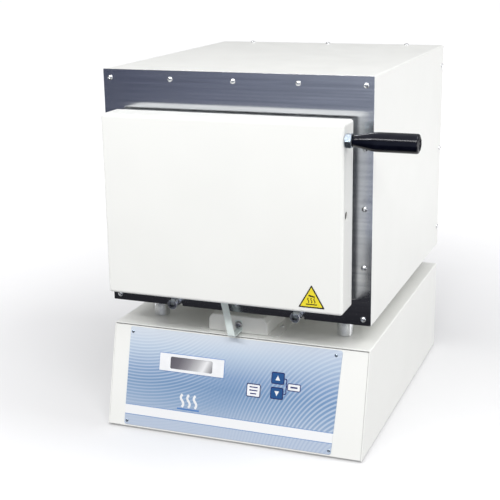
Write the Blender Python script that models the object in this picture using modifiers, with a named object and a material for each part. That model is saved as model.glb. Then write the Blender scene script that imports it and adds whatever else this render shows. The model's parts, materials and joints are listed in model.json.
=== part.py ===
"""Small electric muffle furnace: a square firing chamber on four posts over a control base,
with a drop-down insulated door. Metres, +Z up, the front faces -Y.

The design frame has x = 0 in the middle of the cabinet, y = 0 at the steel front plate and
z = 0 on the table. One empty shifts it all, so that the origin is the middle of the footprint.
"""

import math

import bmesh
import bpy
from mathutils import Matrix, Vector

# ---------------------------------------------------------------- driving dimensions
GAP = 0.0003            # clearance between pieces that touch
SHEET = 0.0015          # sheet metal thickness
WIDTH = 0.380           # cabinet width
DEPTH = 0.438           # cabinet depth behind the front plate
FOOT_H = 0.003
BASE_H = 0.1445
TRAY_H = 0.020
SLOPE_RUN = 0.0375      # how far the control panel's foot stands forward of its top
POST_H = 0.0347
HOUSING_H = 0.3296
DOOR_W = 0.334
DOOR_H = 0.2472
DOOR_FRONT = -0.057
DOOR_REAR = -0.0138
DOOR_BOTTOM_OVER_HOUSING = 0.0301
MOUTH_W = 0.200
MOUTH_H = 0.150
HINGE_Y = -0.010
HINGE_RISE = 0.0093     # hinge axis above the housing's underside
BAR_X = 0.090
GRIP_END_X = 0.260

HALF = WIDTH / 2
BASE_TOP = FOOT_H + BASE_H
HOUSING_Z = BASE_TOP + POST_H
HOUSING_TOP = HOUSING_Z + HOUSING_H
DOOR_Z = HOUSING_Z + DOOR_BOTTOM_OVER_HOUSING
DOOR_TOP = DOOR_Z + DOOR_H
HINGE_Z = HOUSING_Z + HINGE_RISE
SLOPE = math.atan2(SLOPE_RUN, BASE_H)
SLOPE_LEN = math.hypot(SLOPE_RUN, BASE_H)
REAR_END = DEPTH + 0.030            # the thermocouple's head reaches this far back
MID_X = (GRIP_END_X - HALF) / 2

INNER = HALF - SHEET - GAP          # half the clear width inside the wrapped sheets
PLATE_BACK = SHEET + GAP            # first free y behind the front plate
FRAME_T = 0.003
FRAME_BORDER = 0.025
BOARD_Y = PLATE_BACK + FRAME_T + GAP

MUFFLE_WALL = 0.008
MUFFLE_Z = DOOR_Z + DOOR_H / 2      # the muffle's axis is the door's middle
MUFFLE_HALF_W = MOUTH_W / 2 + MUFFLE_WALL
MUFFLE_HALF_H = MOUTH_H / 2 + MUFFLE_WALL
MUFFLE_BACK = 0.300
HEATER_SPACE = 0.012
BOARD_BACK = 0.420
BOTTOM_BOARD_Z = HOUSING_Z + 0.024

BAR_R = 0.007
BAR_FRONT = -0.0185
BAR_BACK = 0.060
BAR_Z = HINGE_Z - 0.002
SLOT_W = 0.0075
ARM_T = SLOT_W - 2 * GAP
EYE_R = 0.0055
PIN_R = 0.0025
PIN_HALF = 0.0064
FLANGE_HALF = 0.016
FLANGE_T = 0.003

LINER_GAP = 0.0013              # the liner clears the rounded inner corners of the pan
FILL_INSET = 0.006
PLUG_CLEAR = 0.004
PLUG_TAPER = 0.004
PLUG_REACH = 0.025
SIDE_HOLE_Y = -0.0426
SIDE_HOLE_R = 0.0052

HANDLE_Y = -0.0484
HANDLE_Z = HOUSING_Z + 0.2561
NUT_AF = 0.017
NUT_END_X = 0.1763
STUD_R = 0.004
GRIP_R = 0.0123
MID_Y = (HANDLE_Y - GRIP_R + REAR_END) / 2

PANEL_MARGIN = 0.0008
KEY_CLEAR = 0.00035
KEY_TRAVEL = 0.0005
LABEL_BACK = GAP
LABEL_FRONT = 0.0008
BEZEL_FRONT = 0.0017
BOARD_DROP = 0.012                  # control board behind the panel's outer face

# label features: left, right, distance down the slope from and to
LABEL = (-0.164, 0.1528, 0.0038, 0.1458)
LABEL_LEAN = 0.0060                 # the printed sheet is this much narrower at its foot
BEZEL = (-0.1147, -0.0159, 0.0363, 0.0613)
WINDOW = (-0.0979, -0.0334, 0.0404, 0.0575)
KEYS = {
    "key_enter": (0.0198, 0.0400, 0.0638, 0.0818),
    "key_up": (0.0550, 0.0734, 0.0438, 0.0596),
    "key_down": (0.0550, 0.0730, 0.0647, 0.0805),
}

ROCKER_TILT = -9.0                  # degrees: the switch is off at rest

SHANK_R = 0.002                     # every small screw is an M4
HOLE_OUT = 0.002
HOLE_DEPTH = 0.020

THROUGH = 0.01                      # how far a cutter runs past the faces it cuts
POST_R = 0.0112
POST_X = 0.140
POST_INSET = 0.054                  # from the front plate, and from the back
FOOT_R = 0.012
GUARD_LEFT = -0.0463                # the guard's upright faces
GUARD_RIGHT = 0.0394
GUARD_FRONT = 0.012
GUARD_BACK = 0.087
GUARD_FLANGE = 0.0176
GUARD_WEB = 0.0180
GUARD_TOP = 0.0235
GUARD_CHAMFER = 0.0054
GUARD_T = 0.0012
GUARD_SCREW_Y = 0.052
BOARD_T = 0.0015
DISPLAY_BORDER = 0.006
TERMINAL_SPACE = 0.002

# transformer and heat sink on the base tray: low and high corners, heights above the tray
TRANSFORMER = (-0.130, -0.060, 0.180, 0.240, 0.060)
LIMB = 0.014                        # the core's outer legs and yokes
YOKE = 0.012
COIL_OVERHANG = 0.012
HEAT_SINK = (0.060, 0.140, 0.200, 0.300, 0.022)
SINK_FLOOR = 0.006
FIN_T = 0.0025
FIN_PITCH = 0.0075
FIRST_FIN_X = 0.1070

# rear fittings: left, right, bottom, top
INLET = (0.100, 0.148, 0.062, 0.090)
INLET_BODY = (0.1103, 0.1377, 0.0663, 0.0857)
INLET_SOCKET = (0.1130, 0.1350, 0.069, 0.083)
SWITCH = (0.060, 0.084, 0.058, 0.094)
SWITCH_BODY = (0.0623, 0.0817, 0.0603, 0.0917)
SWITCH_WINDOW = (0.0640, 0.0800, 0.0625, 0.0895)
BODY_CLEAR = GAP

PROBE_X = 0.040
PROBE_OVER_AXIS = 0.050
PROBE_R = 0.003
PROBE_TIP = 0.260
PROBE_HEAD_R = 0.016

# ---------------------------------------------------------------- scene, collections, root
for old in list(bpy.data.objects):
    bpy.data.objects.remove(old, do_unlink=True)

parts = bpy.data.collections.new("muffle_furnace")
cutters = bpy.data.collections.new("cutters")
bpy.context.scene.collection.children.link(parts)
bpy.context.scene.collection.children.link(cutters)
cutters.hide_render = True


def empty(name, location, parent=None, tilt=0.0):
    """An empty that carries pieces: a frame, or a joint's axis."""
    guide = bpy.data.objects.new(name, None)
    guide.location = location
    guide.rotation_euler = (tilt, 0, 0)
    guide.parent = parent
    parts.objects.link(guide)
    return guide


origin = empty("furnace_origin", (-MID_X, -MID_Y, 0))
panel = empty("panel_plane", (0, 0, BASE_TOP), origin, math.pi / 2 - SLOPE)
hinge = empty("door_hinge", (0, HINGE_Y, HINGE_Z), origin)
bpy.context.view_layer.update()


# ---------------------------------------------------------------- materials
def material(name, colour, roughness, metallic=0.0):
    made = bpy.data.materials.new(name)
    made.use_nodes = True
    shader = made.node_tree.nodes["Principled BSDF"]
    shader.inputs["Base Color"].default_value = (*colour, 1)
    shader.inputs["Roughness"].default_value = roughness
    shader.inputs["Metallic"].default_value = metallic
    return made


WHITE = material("white_enamel", (0.89, 0.88, 0.85), 0.35)
STAINLESS = material("stainless", (0.32, 0.34, 0.37), 0.3, 1)
ZINC = material("zinc_plate", (0.72, 0.75, 0.76), 0.35, 1)
POLISHED = material("polished_steel", (0.78, 0.79, 0.80), 0.12, 1)
BLACK = material("black_phenolic", (0.012, 0.012, 0.013), 0.15)
LABEL_BLUE = material("printed_label", (0.42, 0.54, 0.72), 0.3)
KEY_BLUE = material("key_blue", (0.03, 0.16, 0.42), 0.3)
KEY_WHITE = material("key_white", (0.86, 0.87, 0.90), 0.3)
WINDOW_GREY = material("display_window", (0.16, 0.17, 0.19), 0.1)
BOARD_GREEN = material("circuit_board", (0.03, 0.20, 0.09), 0.4)
DARK_PLASTIC = material("dark_plastic", (0.02, 0.02, 0.022), 0.4)
RUBBER = material("rubber", (0.03, 0.03, 0.03), 0.8)
FIBRE = material("ceramic_fibre", (0.88, 0.86, 0.80), 0.95)
CERAMIC = material("muffle_ceramic", (0.80, 0.72, 0.60), 0.8)
HEATER = material("heating_wire", (0.20, 0.18, 0.17), 0.6, 1)
IRON = material("transformer_iron", (0.22, 0.21, 0.20), 0.6, 1)
WARNING = material("warning_yellow", (0.90, 0.75, 0.02), 0.4)


# ---------------------------------------------------------------- building tools
def add(name, mesh, mat, parent=origin, location=(0, 0, 0), rotation=(0, 0, 0)):
    made = bpy.data.objects.new(name, mesh)
    made.location = location
    made.rotation_euler = rotation
    made.parent = parent
    if mat is None:
        made.hide_render = True
        made.display_type = "WIRE"
        cutters.objects.link(made)
    else:
        made.data.materials.append(mat)
        parts.objects.link(made)
    return made


def cubes(boxes):
    """A mesh of separate boxes, each given by its low and high corner."""
    form = bmesh.new()
    for low, high in boxes:
        size = Vector(high) - Vector(low)
        place = Matrix.Translation((Vector(low) + Vector(high)) / 2) @ Matrix.Diagonal((*size, 1))
        bmesh.ops.create_cube(form, size=1, matrix=place)
    mesh = bpy.data.meshes.new("boxes")
    form.to_mesh(mesh)
    form.free()
    return mesh


def rods(ends, radius, sides):
    """A mesh of separate straight rods, each given by its two end points."""
    form = bmesh.new()
    for start, stop in ends:
        run = Vector(stop) - Vector(start)
        turn = run.to_track_quat("Z", "Y").to_matrix().to_4x4()
        place = Matrix.Translation((Vector(start) + Vector(stop)) / 2) @ turn
        bmesh.ops.create_cone(form, cap_ends=True, segments=sides, radius1=radius,
                              radius2=radius, depth=run.length, matrix=place)
    mesh = bpy.data.meshes.new("rods")
    form.to_mesh(mesh)
    form.free()
    return mesh


def box(name, low, high, mat, parent=origin):
    """A box whose object origin is the parent's."""
    return add(name, cubes([(low, high)]), mat, parent)


def bevel(obj, width, segments=2):
    rounding = obj.modifiers.new("edges", "BEVEL")
    rounding.width = width
    rounding.segments = segments
    rounding.limit_method = "ANGLE"


def boolean(obj, other, operation="DIFFERENCE"):
    change = obj.modifiers.new(operation.lower(), "BOOLEAN")
    change.operation = operation
    change.object = other


def merge(obj, mesh):
    """Joins a helper mesh to the object as one body."""
    boolean(obj, add(obj.name + "_join", mesh, None, obj.parent), "UNION")


def cut(obj, mesh):
    boolean(obj, add(obj.name + "_cut", mesh, None, obj.parent))


def folded_sheet(name, low, high, open_sides, mat, front_shift=0.0, rounding=0.0):
    """A box of sheet metal that is open on some sides, each named by its direction."""
    mesh = cubes([(low, high)])
    form = bmesh.new()
    form.from_mesh(mesh)
    foot = [v for v in form.verts if v.co.z < (low[2] + high[2]) / 2 and v.co.y < 0.1]
    bmesh.ops.translate(form, verts=foot, vec=(0, -front_shift, 0))
    directions = {"left": (-1, 0, 0), "right": (1, 0, 0), "front": (0, -1, 0),
                  "rear": (0, 1, 0), "bottom": (0, 0, -1), "top": (0, 0, 1)}
    form.normal_update()
    gone = [f for f in form.faces if any(f.normal.dot(Vector(directions[side])) > 0.9
                                         for side in open_sides)]
    bmesh.ops.delete(form, geom=gone, context="FACES")
    form.to_mesh(mesh)
    form.free()
    made = add(name, mesh, mat)
    if rounding:
        bevel(made, rounding, 3)
    skin = made.modifiers.new("sheet", "SOLIDIFY")
    skin.thickness = SHEET
    skin.offset = -1
    skin.use_even_offset = True
    return made


def turned(name, profile, mat, parent, location, rotation, steps=24):
    """A profile of (radius, height), top to bottom on its outer side, turned about Z."""
    mesh = bpy.data.meshes.new(name)
    points = [(radius, 0, height) for radius, height in profile]
    mesh.from_pydata(points, [(i, i + 1) for i in range(len(points) - 1)], [])
    made = add(name, mesh, mat, parent, location, rotation)
    spin = made.modifiers.new("turn", "SCREW")
    spin.steps = steps
    spin.render_steps = steps
    spin.use_merge_vertices = True
    spin.merge_threshold = 0.00001
    return made


def screw_holes(hosts, places, ways, radius=SHANK_R + GAP):
    """Clearance holes for screws, through each host, from outside the place inward."""
    ways = [Vector(ways)] * len(places) if isinstance(ways, tuple) else ways
    ends = [(Vector(p) - w * HOLE_OUT, Vector(p) + w * HOLE_DEPTH) for p, w in zip(places, ways)]
    for host in hosts:
        cut(host, rods(ends, radius, 8))


def screw(name, place, way, hosts, mat, head, shank, parent=origin):
    """One pan-head screw, and its clearance holes. Head and shank are (radius, length)."""
    profile = ((0, GAP + head[1]), (head[0] * 0.7, GAP + head[1]), (head[0], GAP + head[1] * 0.45),
               (head[0], GAP), (shank[0], GAP), (shank[0], -shank[1]), (0, -shank[1]))
    turn = (-Vector(way)).to_track_quat("Z", "Y").to_euler()
    turned(name, profile, mat, parent, place, turn, 16)
    screw_holes(hosts, [place], way, shank[0] + GAP)


# ---------------------------------------------------------------- control base
def slope_box(edges, low, high, grow=0.0):
    """A box in the panel's plane, from left, right and two distances down the slope."""
    left, right, start, stop = edges
    return (left - grow, -stop - grow, low), (right + grow, -start + grow, high)


def make_base():
    rear = DEPTH - SHEET
    cover = folded_sheet("base_cover", (-HALF, 0, FOOT_H), (HALF, DEPTH, BASE_TOP),
                         ("front", "rear", "bottom"), WHITE, SLOPE_RUN)
    tray_front = -SLOPE_RUN * (1 - TRAY_H / BASE_H) + 2 * SHEET
    tray = folded_sheet("base_tray", (-INNER, tray_front, FOOT_H),
                        (INNER, rear - GAP, FOOT_H + TRAY_H), ("front", "rear", "top"), WHITE)
    merge(tray, cubes([((-INNER + SHEET, 2 * SHEET - SLOPE_RUN, FOOT_H + GAP),
                        (INNER - SHEET, tray_front + SHEET, FOOT_H + SHEET - GAP / 2))]))
    back = box("base_rear_panel", (-INNER, rear, FOOT_H + SHEET),
               (INNER, DEPTH, BASE_TOP - SHEET - GAP), WHITE)
    cut(back, cubes([((x, rear - SHEET, 0.060), (x + 0.004, DEPTH + SHEET, 0.110))
                     for x in (-0.150 + 0.012 * i for i in range(8))]))
    for side_x, side in ((-1, "left"), (1, "right")):
        for y, end in ((0.010, "front"), (DEPTH - 0.040, "rear")):
            profile = ((0, FOOT_H - GAP), (FOOT_R, FOOT_H - GAP), (FOOT_R - 0.002, 0), (0, 0))
            turned(f"foot_{end}_{side}", profile, RUBBER, origin, (side_x * (HALF - 0.030), y, 0),
                   (0, 0, 0), 20)
    return cover, back


def make_panel():
    """The sloping control panel and what is on it, in the panel's own plane."""
    top = SHEET + PANEL_MARGIN
    sheet = box("front_panel", (-INNER, -SLOPE_LEN + SHEET, -SHEET), (INNER, -top, 0), WHITE, panel)
    label = box("control_label", *slope_box(LABEL, LABEL_BACK, LABEL_FRONT), LABEL_BLUE, panel)
    for vert in label.data.vertices:
        if vert.co.x > 0 and vert.co.y < -SLOPE_LEN / 2:
            vert.co.x -= LABEL_LEAN
    bezel = box("display_bezel", *slope_box(BEZEL, LABEL_FRONT + GAP, BEZEL_FRONT), KEY_WHITE, panel)
    window_cut = add("window_cut", cubes([slope_box(WINDOW, -0.01, 0.01)]), None, panel)
    bevel(window_cut, 0.002)
    boolean(bezel, window_cut)
    rim = 0.0006
    box("display_window", *slope_box(WINDOW, -SHEET, LABEL_FRONT, rim), WINDOW_GREY, panel)
    openings = [slope_box(WINDOW, -0.01, 0.01, rim + GAP)]
    openings += [slope_box(edges, -0.01, 0.01, KEY_CLEAR) for edges in KEYS.values()]
    cut(label, cubes(openings))
    cut(sheet, cubes(openings))
    for name, edges in KEYS.items():
        mat = KEY_WHITE if name == "key_enter" else KEY_BLUE
        cap = box(name, *slope_box(edges, -SHEET, LABEL_FRONT + KEY_TRAVEL), mat, panel)
        bevel(cap, 0.0003, 1)
        middle_x = (edges[0] + edges[1]) / 2
        middle_y = -(edges[2] + edges[3]) / 2
        stem = ((middle_x, middle_y, -0.0065), (middle_x, middle_y, -SHEET / 2))
        merge(cap, rods([stem], 0.0025, 12))
    places = [(x, y, LABEL_FRONT) for x in (-0.160, 0.144) for y in (-0.011, -0.1406)]
    screw_holes((label, sheet), places, (0, 0, -1), 0.0015)


def make_electrics():
    """What the base holds: display, board, transformer, relay with its heat sink."""
    depth = BOARD_DROP
    board = box("control_board", (-0.125, -0.100, -depth - BOARD_T), (0.100, -0.032, -depth),
                BOARD_GREEN, panel)
    middles = [((e[0] + e[1]) / 2, -(e[2] + e[3]) / 2) for e in KEYS.values()]
    merge(board, cubes([((x - 0.006, y - 0.006, -depth - BOARD_T / 2), (x + 0.006, y + 0.006, -0.0080))
                        for x, y in middles]))
    module = slope_box(WINDOW, -depth + GAP, -SHEET - GAP, DISPLAY_BORDER)
    box("display_module", *module, DARK_PLASTIC, panel)
    make_transformer(FOOT_H + SHEET + GAP)
    make_heat_sink(FOOT_H + SHEET + GAP)


def make_transformer(floor):
    left, right, front, rear, height = TRANSFORMER
    middle = (left + right) / 2
    leg = LIMB / 2 + GAP                # half the middle leg, and the coil's clearance
    core = box("transformer_core", (left, front, floor), (right, rear, floor + height), IRON)
    windows = ((left + LIMB, middle - leg), (middle + leg, right - LIMB))
    cut(core, cubes([((a, front - THROUGH, floor + YOKE), (b, rear + THROUGH, floor + height - YOKE))
                     for a, b in windows]))
    coil = box("transformer_coil", (left + LIMB + GAP, front - COIL_OVERHANG, floor + YOKE + GAP),
               (right - LIMB - GAP, rear + COIL_OVERHANG, floor + height - YOKE - GAP), CERAMIC)
    cut(coil, cubes([((middle - leg - GAP, front - GAP, floor),
                      (middle + leg + GAP, rear + GAP, floor + height))]))


def make_heat_sink(floor):
    left, right, front, rear, height = HEAT_SINK
    sink = box("heat_sink", (left, front, floor), (right, rear, floor + SINK_FLOOR), ZINC)
    merge(sink, cubes([((x, front, floor + SINK_FLOOR / 2), (x + FIN_T, rear, floor + height))
                       for x in (FIRST_FIN_X + FIN_PITCH * i for i in range(5))]))
    relay = box("power_relay", (left + 0.003, front + 0.022, floor + SINK_FLOOR + GAP),
                (FIRST_FIN_X - 0.004, rear - 0.020, floor + 0.030), DARK_PLASTIC)
    bevel(relay, 0.001, 1)


def wall_box(edges, front, rear, grow=0.0):
    """A box from left, right, bottom and top, between two depths."""
    left, right, bottom, top = edges
    return (left - grow, front, bottom - grow), (right + grow, rear, top + grow)


def make_rear_fittings(back):
    """Mains inlet and rocker switch in the base's rear panel."""
    inner = DEPTH - SHEET
    inlet = box("power_inlet", *wall_box(INLET, DEPTH + GAP, DEPTH + 0.004), DARK_PLASTIC)
    merge(inlet, cubes([wall_box(INLET_BODY, inner - 0.020, DEPTH + 0.001)]))
    cut(inlet, cubes([wall_box(INLET_SOCKET, inner - 0.014, DEPTH + THROUGH)]))
    pins = [(x - 0.001, x + 0.001, 0.074, 0.078) for x in (0.118, 0.124, 0.130)]
    merge(inlet, cubes([wall_box(pin, inner - 0.016, inner - TERMINAL_SPACE) for pin in pins]))
    frame = box("switch_frame", *wall_box(SWITCH, DEPTH + GAP, DEPTH + 0.002), DARK_PLASTIC)
    merge(frame, cubes([wall_box(SWITCH_BODY, inner - 0.018, DEPTH + 0.001)]))
    cut(frame, cubes([wall_box(SWITCH_WINDOW, inner - 0.016, DEPTH + THROUGH)]))
    cut(back, cubes([wall_box(body, inner - THROUGH, DEPTH + THROUGH, BODY_CLEAR)
                     for body in (INLET_BODY, SWITCH_BODY)]))
    pivot = empty("switch_axis", (0.072, DEPTH - 0.004, 0.076), origin, math.radians(ROCKER_TILT))
    rocker = add("switch_rocker", cubes([((-0.0074, -0.004, -0.0115), (0.0074, 0.006, 0.0115))]),
                 DARK_PLASTIC, pivot)
    cut(rocker, rods([((-0.02, 0.0315, 0), (0.02, 0.0315, 0))], 0.028, 32))
    bevel(rocker, 0.0008, 1)


# ---------------------------------------------------------------- posts, guard, earth strip
def make_between():
    """What stands in the gap between the base and the chamber."""
    for x_side, side in ((-1, "left"), (1, "right")):
        for y, end in ((POST_INSET, "front"), (DEPTH - POST_INSET, "rear")):
            length = POST_H - 2 * GAP
            stand = add(f"post_{end}_{side}", rods([((0, 0, 0), (0, 0, length))], POST_R, 32),
                        POLISHED, origin, (x_side * POST_X, y, BASE_TOP + GAP))
            bevel(stand, 0.0006, 1)
    low = BASE_TOP + GAP
    outline = ((GUARD_LEFT - GUARD_FLANGE, 0), (GUARD_LEFT, 0), (GUARD_LEFT, GUARD_WEB),
               (GUARD_LEFT + GUARD_CHAMFER, GUARD_TOP), (GUARD_RIGHT - GUARD_CHAMFER, GUARD_TOP),
               (GUARD_RIGHT, GUARD_WEB), (GUARD_RIGHT, 0), (GUARD_RIGHT + GUARD_FLANGE, 0))
    mesh = bpy.data.meshes.new("wiring_guard")
    form = bmesh.new()
    verts = [form.verts.new((x, GUARD_FRONT, low + z)) for x, z in outline]
    edges = [form.edges.new(pair) for pair in zip(verts, verts[1:])]
    swept = bmesh.ops.extrude_edge_only(form, edges=edges)["geom"]
    far = [item for item in swept if isinstance(item, bmesh.types.BMVert)]
    bmesh.ops.translate(form, verts=far, vec=(0, GUARD_BACK - GUARD_FRONT, 0))
    bmesh.ops.recalc_face_normals(form, faces=form.faces)
    form.to_mesh(mesh)
    form.free()
    guard = add("wiring_guard", mesh, WHITE)
    skin = guard.modifiers.new("sheet", "SOLIDIFY")
    skin.thickness = GUARD_T
    skin.offset = 1
    skin.use_even_offset = True
    merge(guard, cubes([((GUARD_LEFT, GUARD_FRONT, low),
                         (GUARD_RIGHT, GUARD_FRONT + GUARD_T, low + GUARD_WEB))]))
    return guard


def make_strip(guard):
    """Earth contact strip: a lug under the bolt, a foot coming forward, and a leaning leaf
    that bears on the underside of the closed door."""
    bolt = Vector((-0.0020, GUARD_FRONT, BASE_TOP + 0.0125))
    half, thick = 0.0052, 0.0010
    foot_z = BASE_TOP + 0.0040
    front_y = -0.0165
    top = Vector((-0.0150, front_y, DOOR_Z - 0.0006))
    lug_back = bolt.y - GAP
    strip = box("earth_strip", (bolt.x - half, lug_back - thick, foot_z),
                (bolt.x + half, lug_back, bolt.z + 0.0065), ZINC)
    merge(strip, cubes([((bolt.x - half, front_y, foot_z),
                         (bolt.x + half, lug_back - thick / 2, foot_z + thick))]))
    lean = math.atan2(bolt.x - top.x, top.z - foot_z)
    reach = half * math.cos(lean)
    leaf = cubes([((-reach, front_y - thick, 0), (reach, front_y, top.z - foot_z))])
    for vert in leaf.vertices:
        vert.co.x += bolt.x - vert.co.z * math.tan(lean)
        vert.co.z += foot_z
    merge(strip, leaf)
    screw("earth_bolt", (bolt.x, lug_back - thick, bolt.z), (0, 1, 0), (strip, guard), POLISHED,
          (0.0054, 0.0048), (0.0025, 0.008))


# ---------------------------------------------------------------- firing chamber
def make_housing():
    wrap = folded_sheet("housing_wrap", (-HALF, PLATE_BACK, HOUSING_Z), (HALF, DEPTH, HOUSING_TOP),
                        ("front", "rear", "bottom"), WHITE, 0, 0.003)
    low = HOUSING_Z
    pan = folded_sheet("floor_pan", (-INNER, BOARD_Y, low), (INNER, DEPTH - 0.022, low + 0.018),
                       ("front", "rear", "top"), WHITE)
    cut(pan, rods([((side * BAR_X, 0, BAR_Z), (side * BAR_X, BAR_BACK + GAP, BAR_Z)) for side in (-1, 1)],
                  BAR_R + 0.0005, 16))
    back = folded_sheet("rear_panel", (-INNER, DEPTH - 0.020, low),
                        (INNER, DEPTH, HOUSING_TOP - SHEET - GAP), ("front",), WHITE, 0, 0.003)
    louvres = [(x - 0.030, x + 0.030, low + z, low + z + 0.004)
               for x in (-0.100, 0.100) for z in (0.040 + 0.012 * i for i in range(5))]
    cut(back, cubes([wall_box(edges, DEPTH - THROUGH, DEPTH + THROUGH) for edges in louvres]))
    plate = box("front_plate", (-HALF, 0, low), (HALF, SHEET, HOUSING_TOP), STAINLESS)
    inside = INNER - GAP
    frame = box("front_frame", (-inside, PLATE_BACK, low + GAP),
                (inside, PLATE_BACK + FRAME_T, HOUSING_TOP - SHEET - 2 * GAP), ZINC)
    mouth = (-MOUTH_W / 2, MOUTH_W / 2, MUFFLE_Z - MOUTH_H / 2, MUFFLE_Z + MOUTH_H / 2)
    opening = (-inside + FRAME_BORDER, inside - FRAME_BORDER,
               low + FRAME_BORDER, HOUSING_TOP - FRAME_BORDER)
    cut(plate, cubes([wall_box(mouth, -THROUGH, THROUGH)]))
    cut(frame, cubes([wall_box(opening, -THROUGH, THROUGH)]))
    cut_bar_notches(plate, frame, low)
    top = HOUSING_TOP - 0.0118
    edge = HALF - 0.0105
    places = [(x, 0, top) for x in (-edge, -0.090, 0, 0.090, edge)]
    places += [(x, 0, HOUSING_Z + z) for x in (-edge, edge) for z in (0.0088, 0.0798, 0.1588, 0.2378)]
    places += [(0, 0, HOUSING_Z + 0.0108)]
    screw_holes((plate, frame), places, (0, 1, 0))
    cut_rear_screws(wrap, back)
    return back


def cut_bar_notches(plate, frame, low):
    """Round-topped notches in the plate, and square ones in the frame, for the hinge bars."""
    clear = BAR_R + 0.0005
    wide = BAR_R + 0.001
    cut(plate, rods([((side * BAR_X, -THROUGH, BAR_Z), (side * BAR_X, THROUGH, BAR_Z))
                     for side in (-1, 1)], clear, 16))
    below = [(side * BAR_X - clear, side * BAR_X + clear, low - THROUGH, BAR_Z) for side in (-1, 1)]
    cut(plate, cubes([wall_box(edges, -THROUGH, THROUGH) for edges in below]))
    around = [(side * BAR_X - wide, side * BAR_X + wide, low - THROUGH, BAR_Z + wide) for side in (-1, 1)]
    cut(frame, cubes([wall_box(edges, -THROUGH, THROUGH) for edges in around]))


def cut_rear_screws(wrap, back):
    """Holes for the screws that hold the wrap to the rear panel: three on the top, and on each side."""
    rear_y = DEPTH - 0.010
    side_z = [HOUSING_Z + z for z in (0.0328, 0.1648, 0.2978)]
    rear_places = [(x, rear_y, HOUSING_TOP) for x in (-0.132, 0, 0.132)]
    rear_ways = [Vector((0, 0, -1))] * 3
    for side in (-1, 1):
        rear_places += [(side * HALF, rear_y, z) for z in side_z]
        rear_ways += [Vector((-side, 0, 0))] * 3
    screw_holes((wrap, back), rear_places, rear_ways)


def make_hot_parts(back):
    """The muffle, its heating wires, the fibre boards around it and the thermocouple."""
    side = INNER - GAP
    low, high = MUFFLE_Z - MUFFLE_HALF_H, MUFFLE_Z + MUFFLE_HALF_H
    in_x = MUFFLE_HALF_W + HEATER_SPACE
    rear = BOARD_BACK - 0.003
    roof = HOUSING_TOP - SHEET - 2 * GAP
    box("insulation_top", (-side, BOARD_Y, high + GAP), (side, rear, roof), FIBRE)
    box("insulation_bottom", (-side, BOARD_Y, BOTTOM_BOARD_Z), (side, rear, low - GAP), FIBRE)
    for sign, name in ((-1, "left"), (1, "right")):
        edges = sorted((sign * in_x, sign * side))
        box(f"insulation_{name}", (edges[0], BOARD_Y, low), (edges[1], rear, high), FIBRE)
    rear_board = box("insulation_back", (-in_x + GAP, MUFFLE_BACK + GAP, low),
                     (in_x - GAP, rear, high), FIBRE)
    muffle = box("muffle", (-MUFFLE_HALF_W, PLATE_BACK, low), (MUFFLE_HALF_W, MUFFLE_BACK, high), CERAMIC)
    cut(muffle, cubes([((-MOUTH_W / 2, -THROUGH, low + MUFFLE_WALL),
                        (MOUTH_W / 2, MUFFLE_BACK - MUFFLE_WALL, high - MUFFLE_WALL))]))
    for sign, name in ((-1, "left"), (1, "right")):
        make_heater(name, sign * (MUFFLE_HALF_W + HEATER_SPACE / 2), low + 0.012, high - 0.012)
    make_probe((muffle, rear_board, back))


def make_probe(hosts):
    """The thermocouple: its head on the rear panel, and its sheath through the hosts."""
    z = MUFFLE_Z + PROBE_OVER_AXIS
    head_front = DEPTH + GAP
    profile = ((0, REAR_END), (PROBE_HEAD_R - 0.002, REAR_END), (PROBE_HEAD_R, REAR_END - 0.002),
               (PROBE_HEAD_R, head_front), (PROBE_R, head_front), (PROBE_R, PROBE_TIP + 0.003),
               (PROBE_R * 0.6, PROBE_TIP), (0, PROBE_TIP))
    turned("thermocouple", profile, STAINLESS, origin, (PROBE_X, 0, z), (-math.pi / 2, 0, 0), 20)
    for host in hosts:
        cut(host, rods([((PROBE_X, 0.28, z), (PROBE_X, DEPTH + THROUGH, z))], PROBE_R + GAP, 12))


def make_heater(name, x, low, high):
    """One wire in straight runs beside the muffle, joined by round bends."""
    runs, front, rear = 6, 0.030, 0.280
    pitch = (high - low) / (runs - 1)
    points = []
    for run in range(runs):
        start, stop = (front, rear) if run % 2 == 0 else (rear, front)
        z = low + run * pitch
        points += [(x, start, z), (x, stop, z)]
        if run < runs - 1:
            sign = 1 if stop == rear else -1
            for step in (1, 2, 3):
                angle = math.pi * step / 4
                points.append((x, stop + sign * math.sin(angle) * pitch / 2,
                               z + pitch / 2 * (1 - math.cos(angle))))
    wire = bpy.data.curves.new("heater", "CURVE")
    wire.dimensions = "3D"
    wire.bevel_depth = 0.0015
    wire.bevel_resolution = 1
    wire.use_fill_caps = True
    line = wire.splines.new("POLY")
    line.points.add(len(points) - 1)
    for knot, point in zip(line.points, points):
        knot.co = (*point, 1)
    add(f"heating_element_{name}", wire, HEATER)


# ---------------------------------------------------------------- door, hinge, handle
def make_hinge():
    """Two round bars, forked at the front, that carry the door's arms on cross pins."""
    slot_floor = HINGE_Z - EYE_R - GAP
    slot_back = HINGE_Y + EYE_R + 2 * GAP
    for sign, name in ((-1, "left"), (1, "right")):
        x = sign * BAR_X
        run = ((x, BAR_FRONT, BAR_Z), (x, BAR_BACK, BAR_Z))
        bar = add(f"hinge_bar_{name}", rods([run], BAR_R, 32), POLISHED)
        bevel(bar, 0.0008, 1)
        cut(bar, cubes([((x - SLOT_W / 2, BAR_FRONT - THROUGH, slot_floor),
                         (x + SLOT_W / 2, slot_back, BAR_Z + BAR_R + THROUGH))]))
        across = ((x - 0.02, HINGE_Y, HINGE_Z), (x + 0.02, HINGE_Y, HINGE_Z))
        cut(bar, rods([across], PIN_R + GAP, 16))
        pin = ((x - PIN_HALF, HINGE_Y, HINGE_Z), (x + PIN_HALF, HINGE_Y, HINGE_Z))
        add(f"hinge_pin_{name}", rods([pin], PIN_R, 16), ZINC)
        make_arm(name, x)


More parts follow.
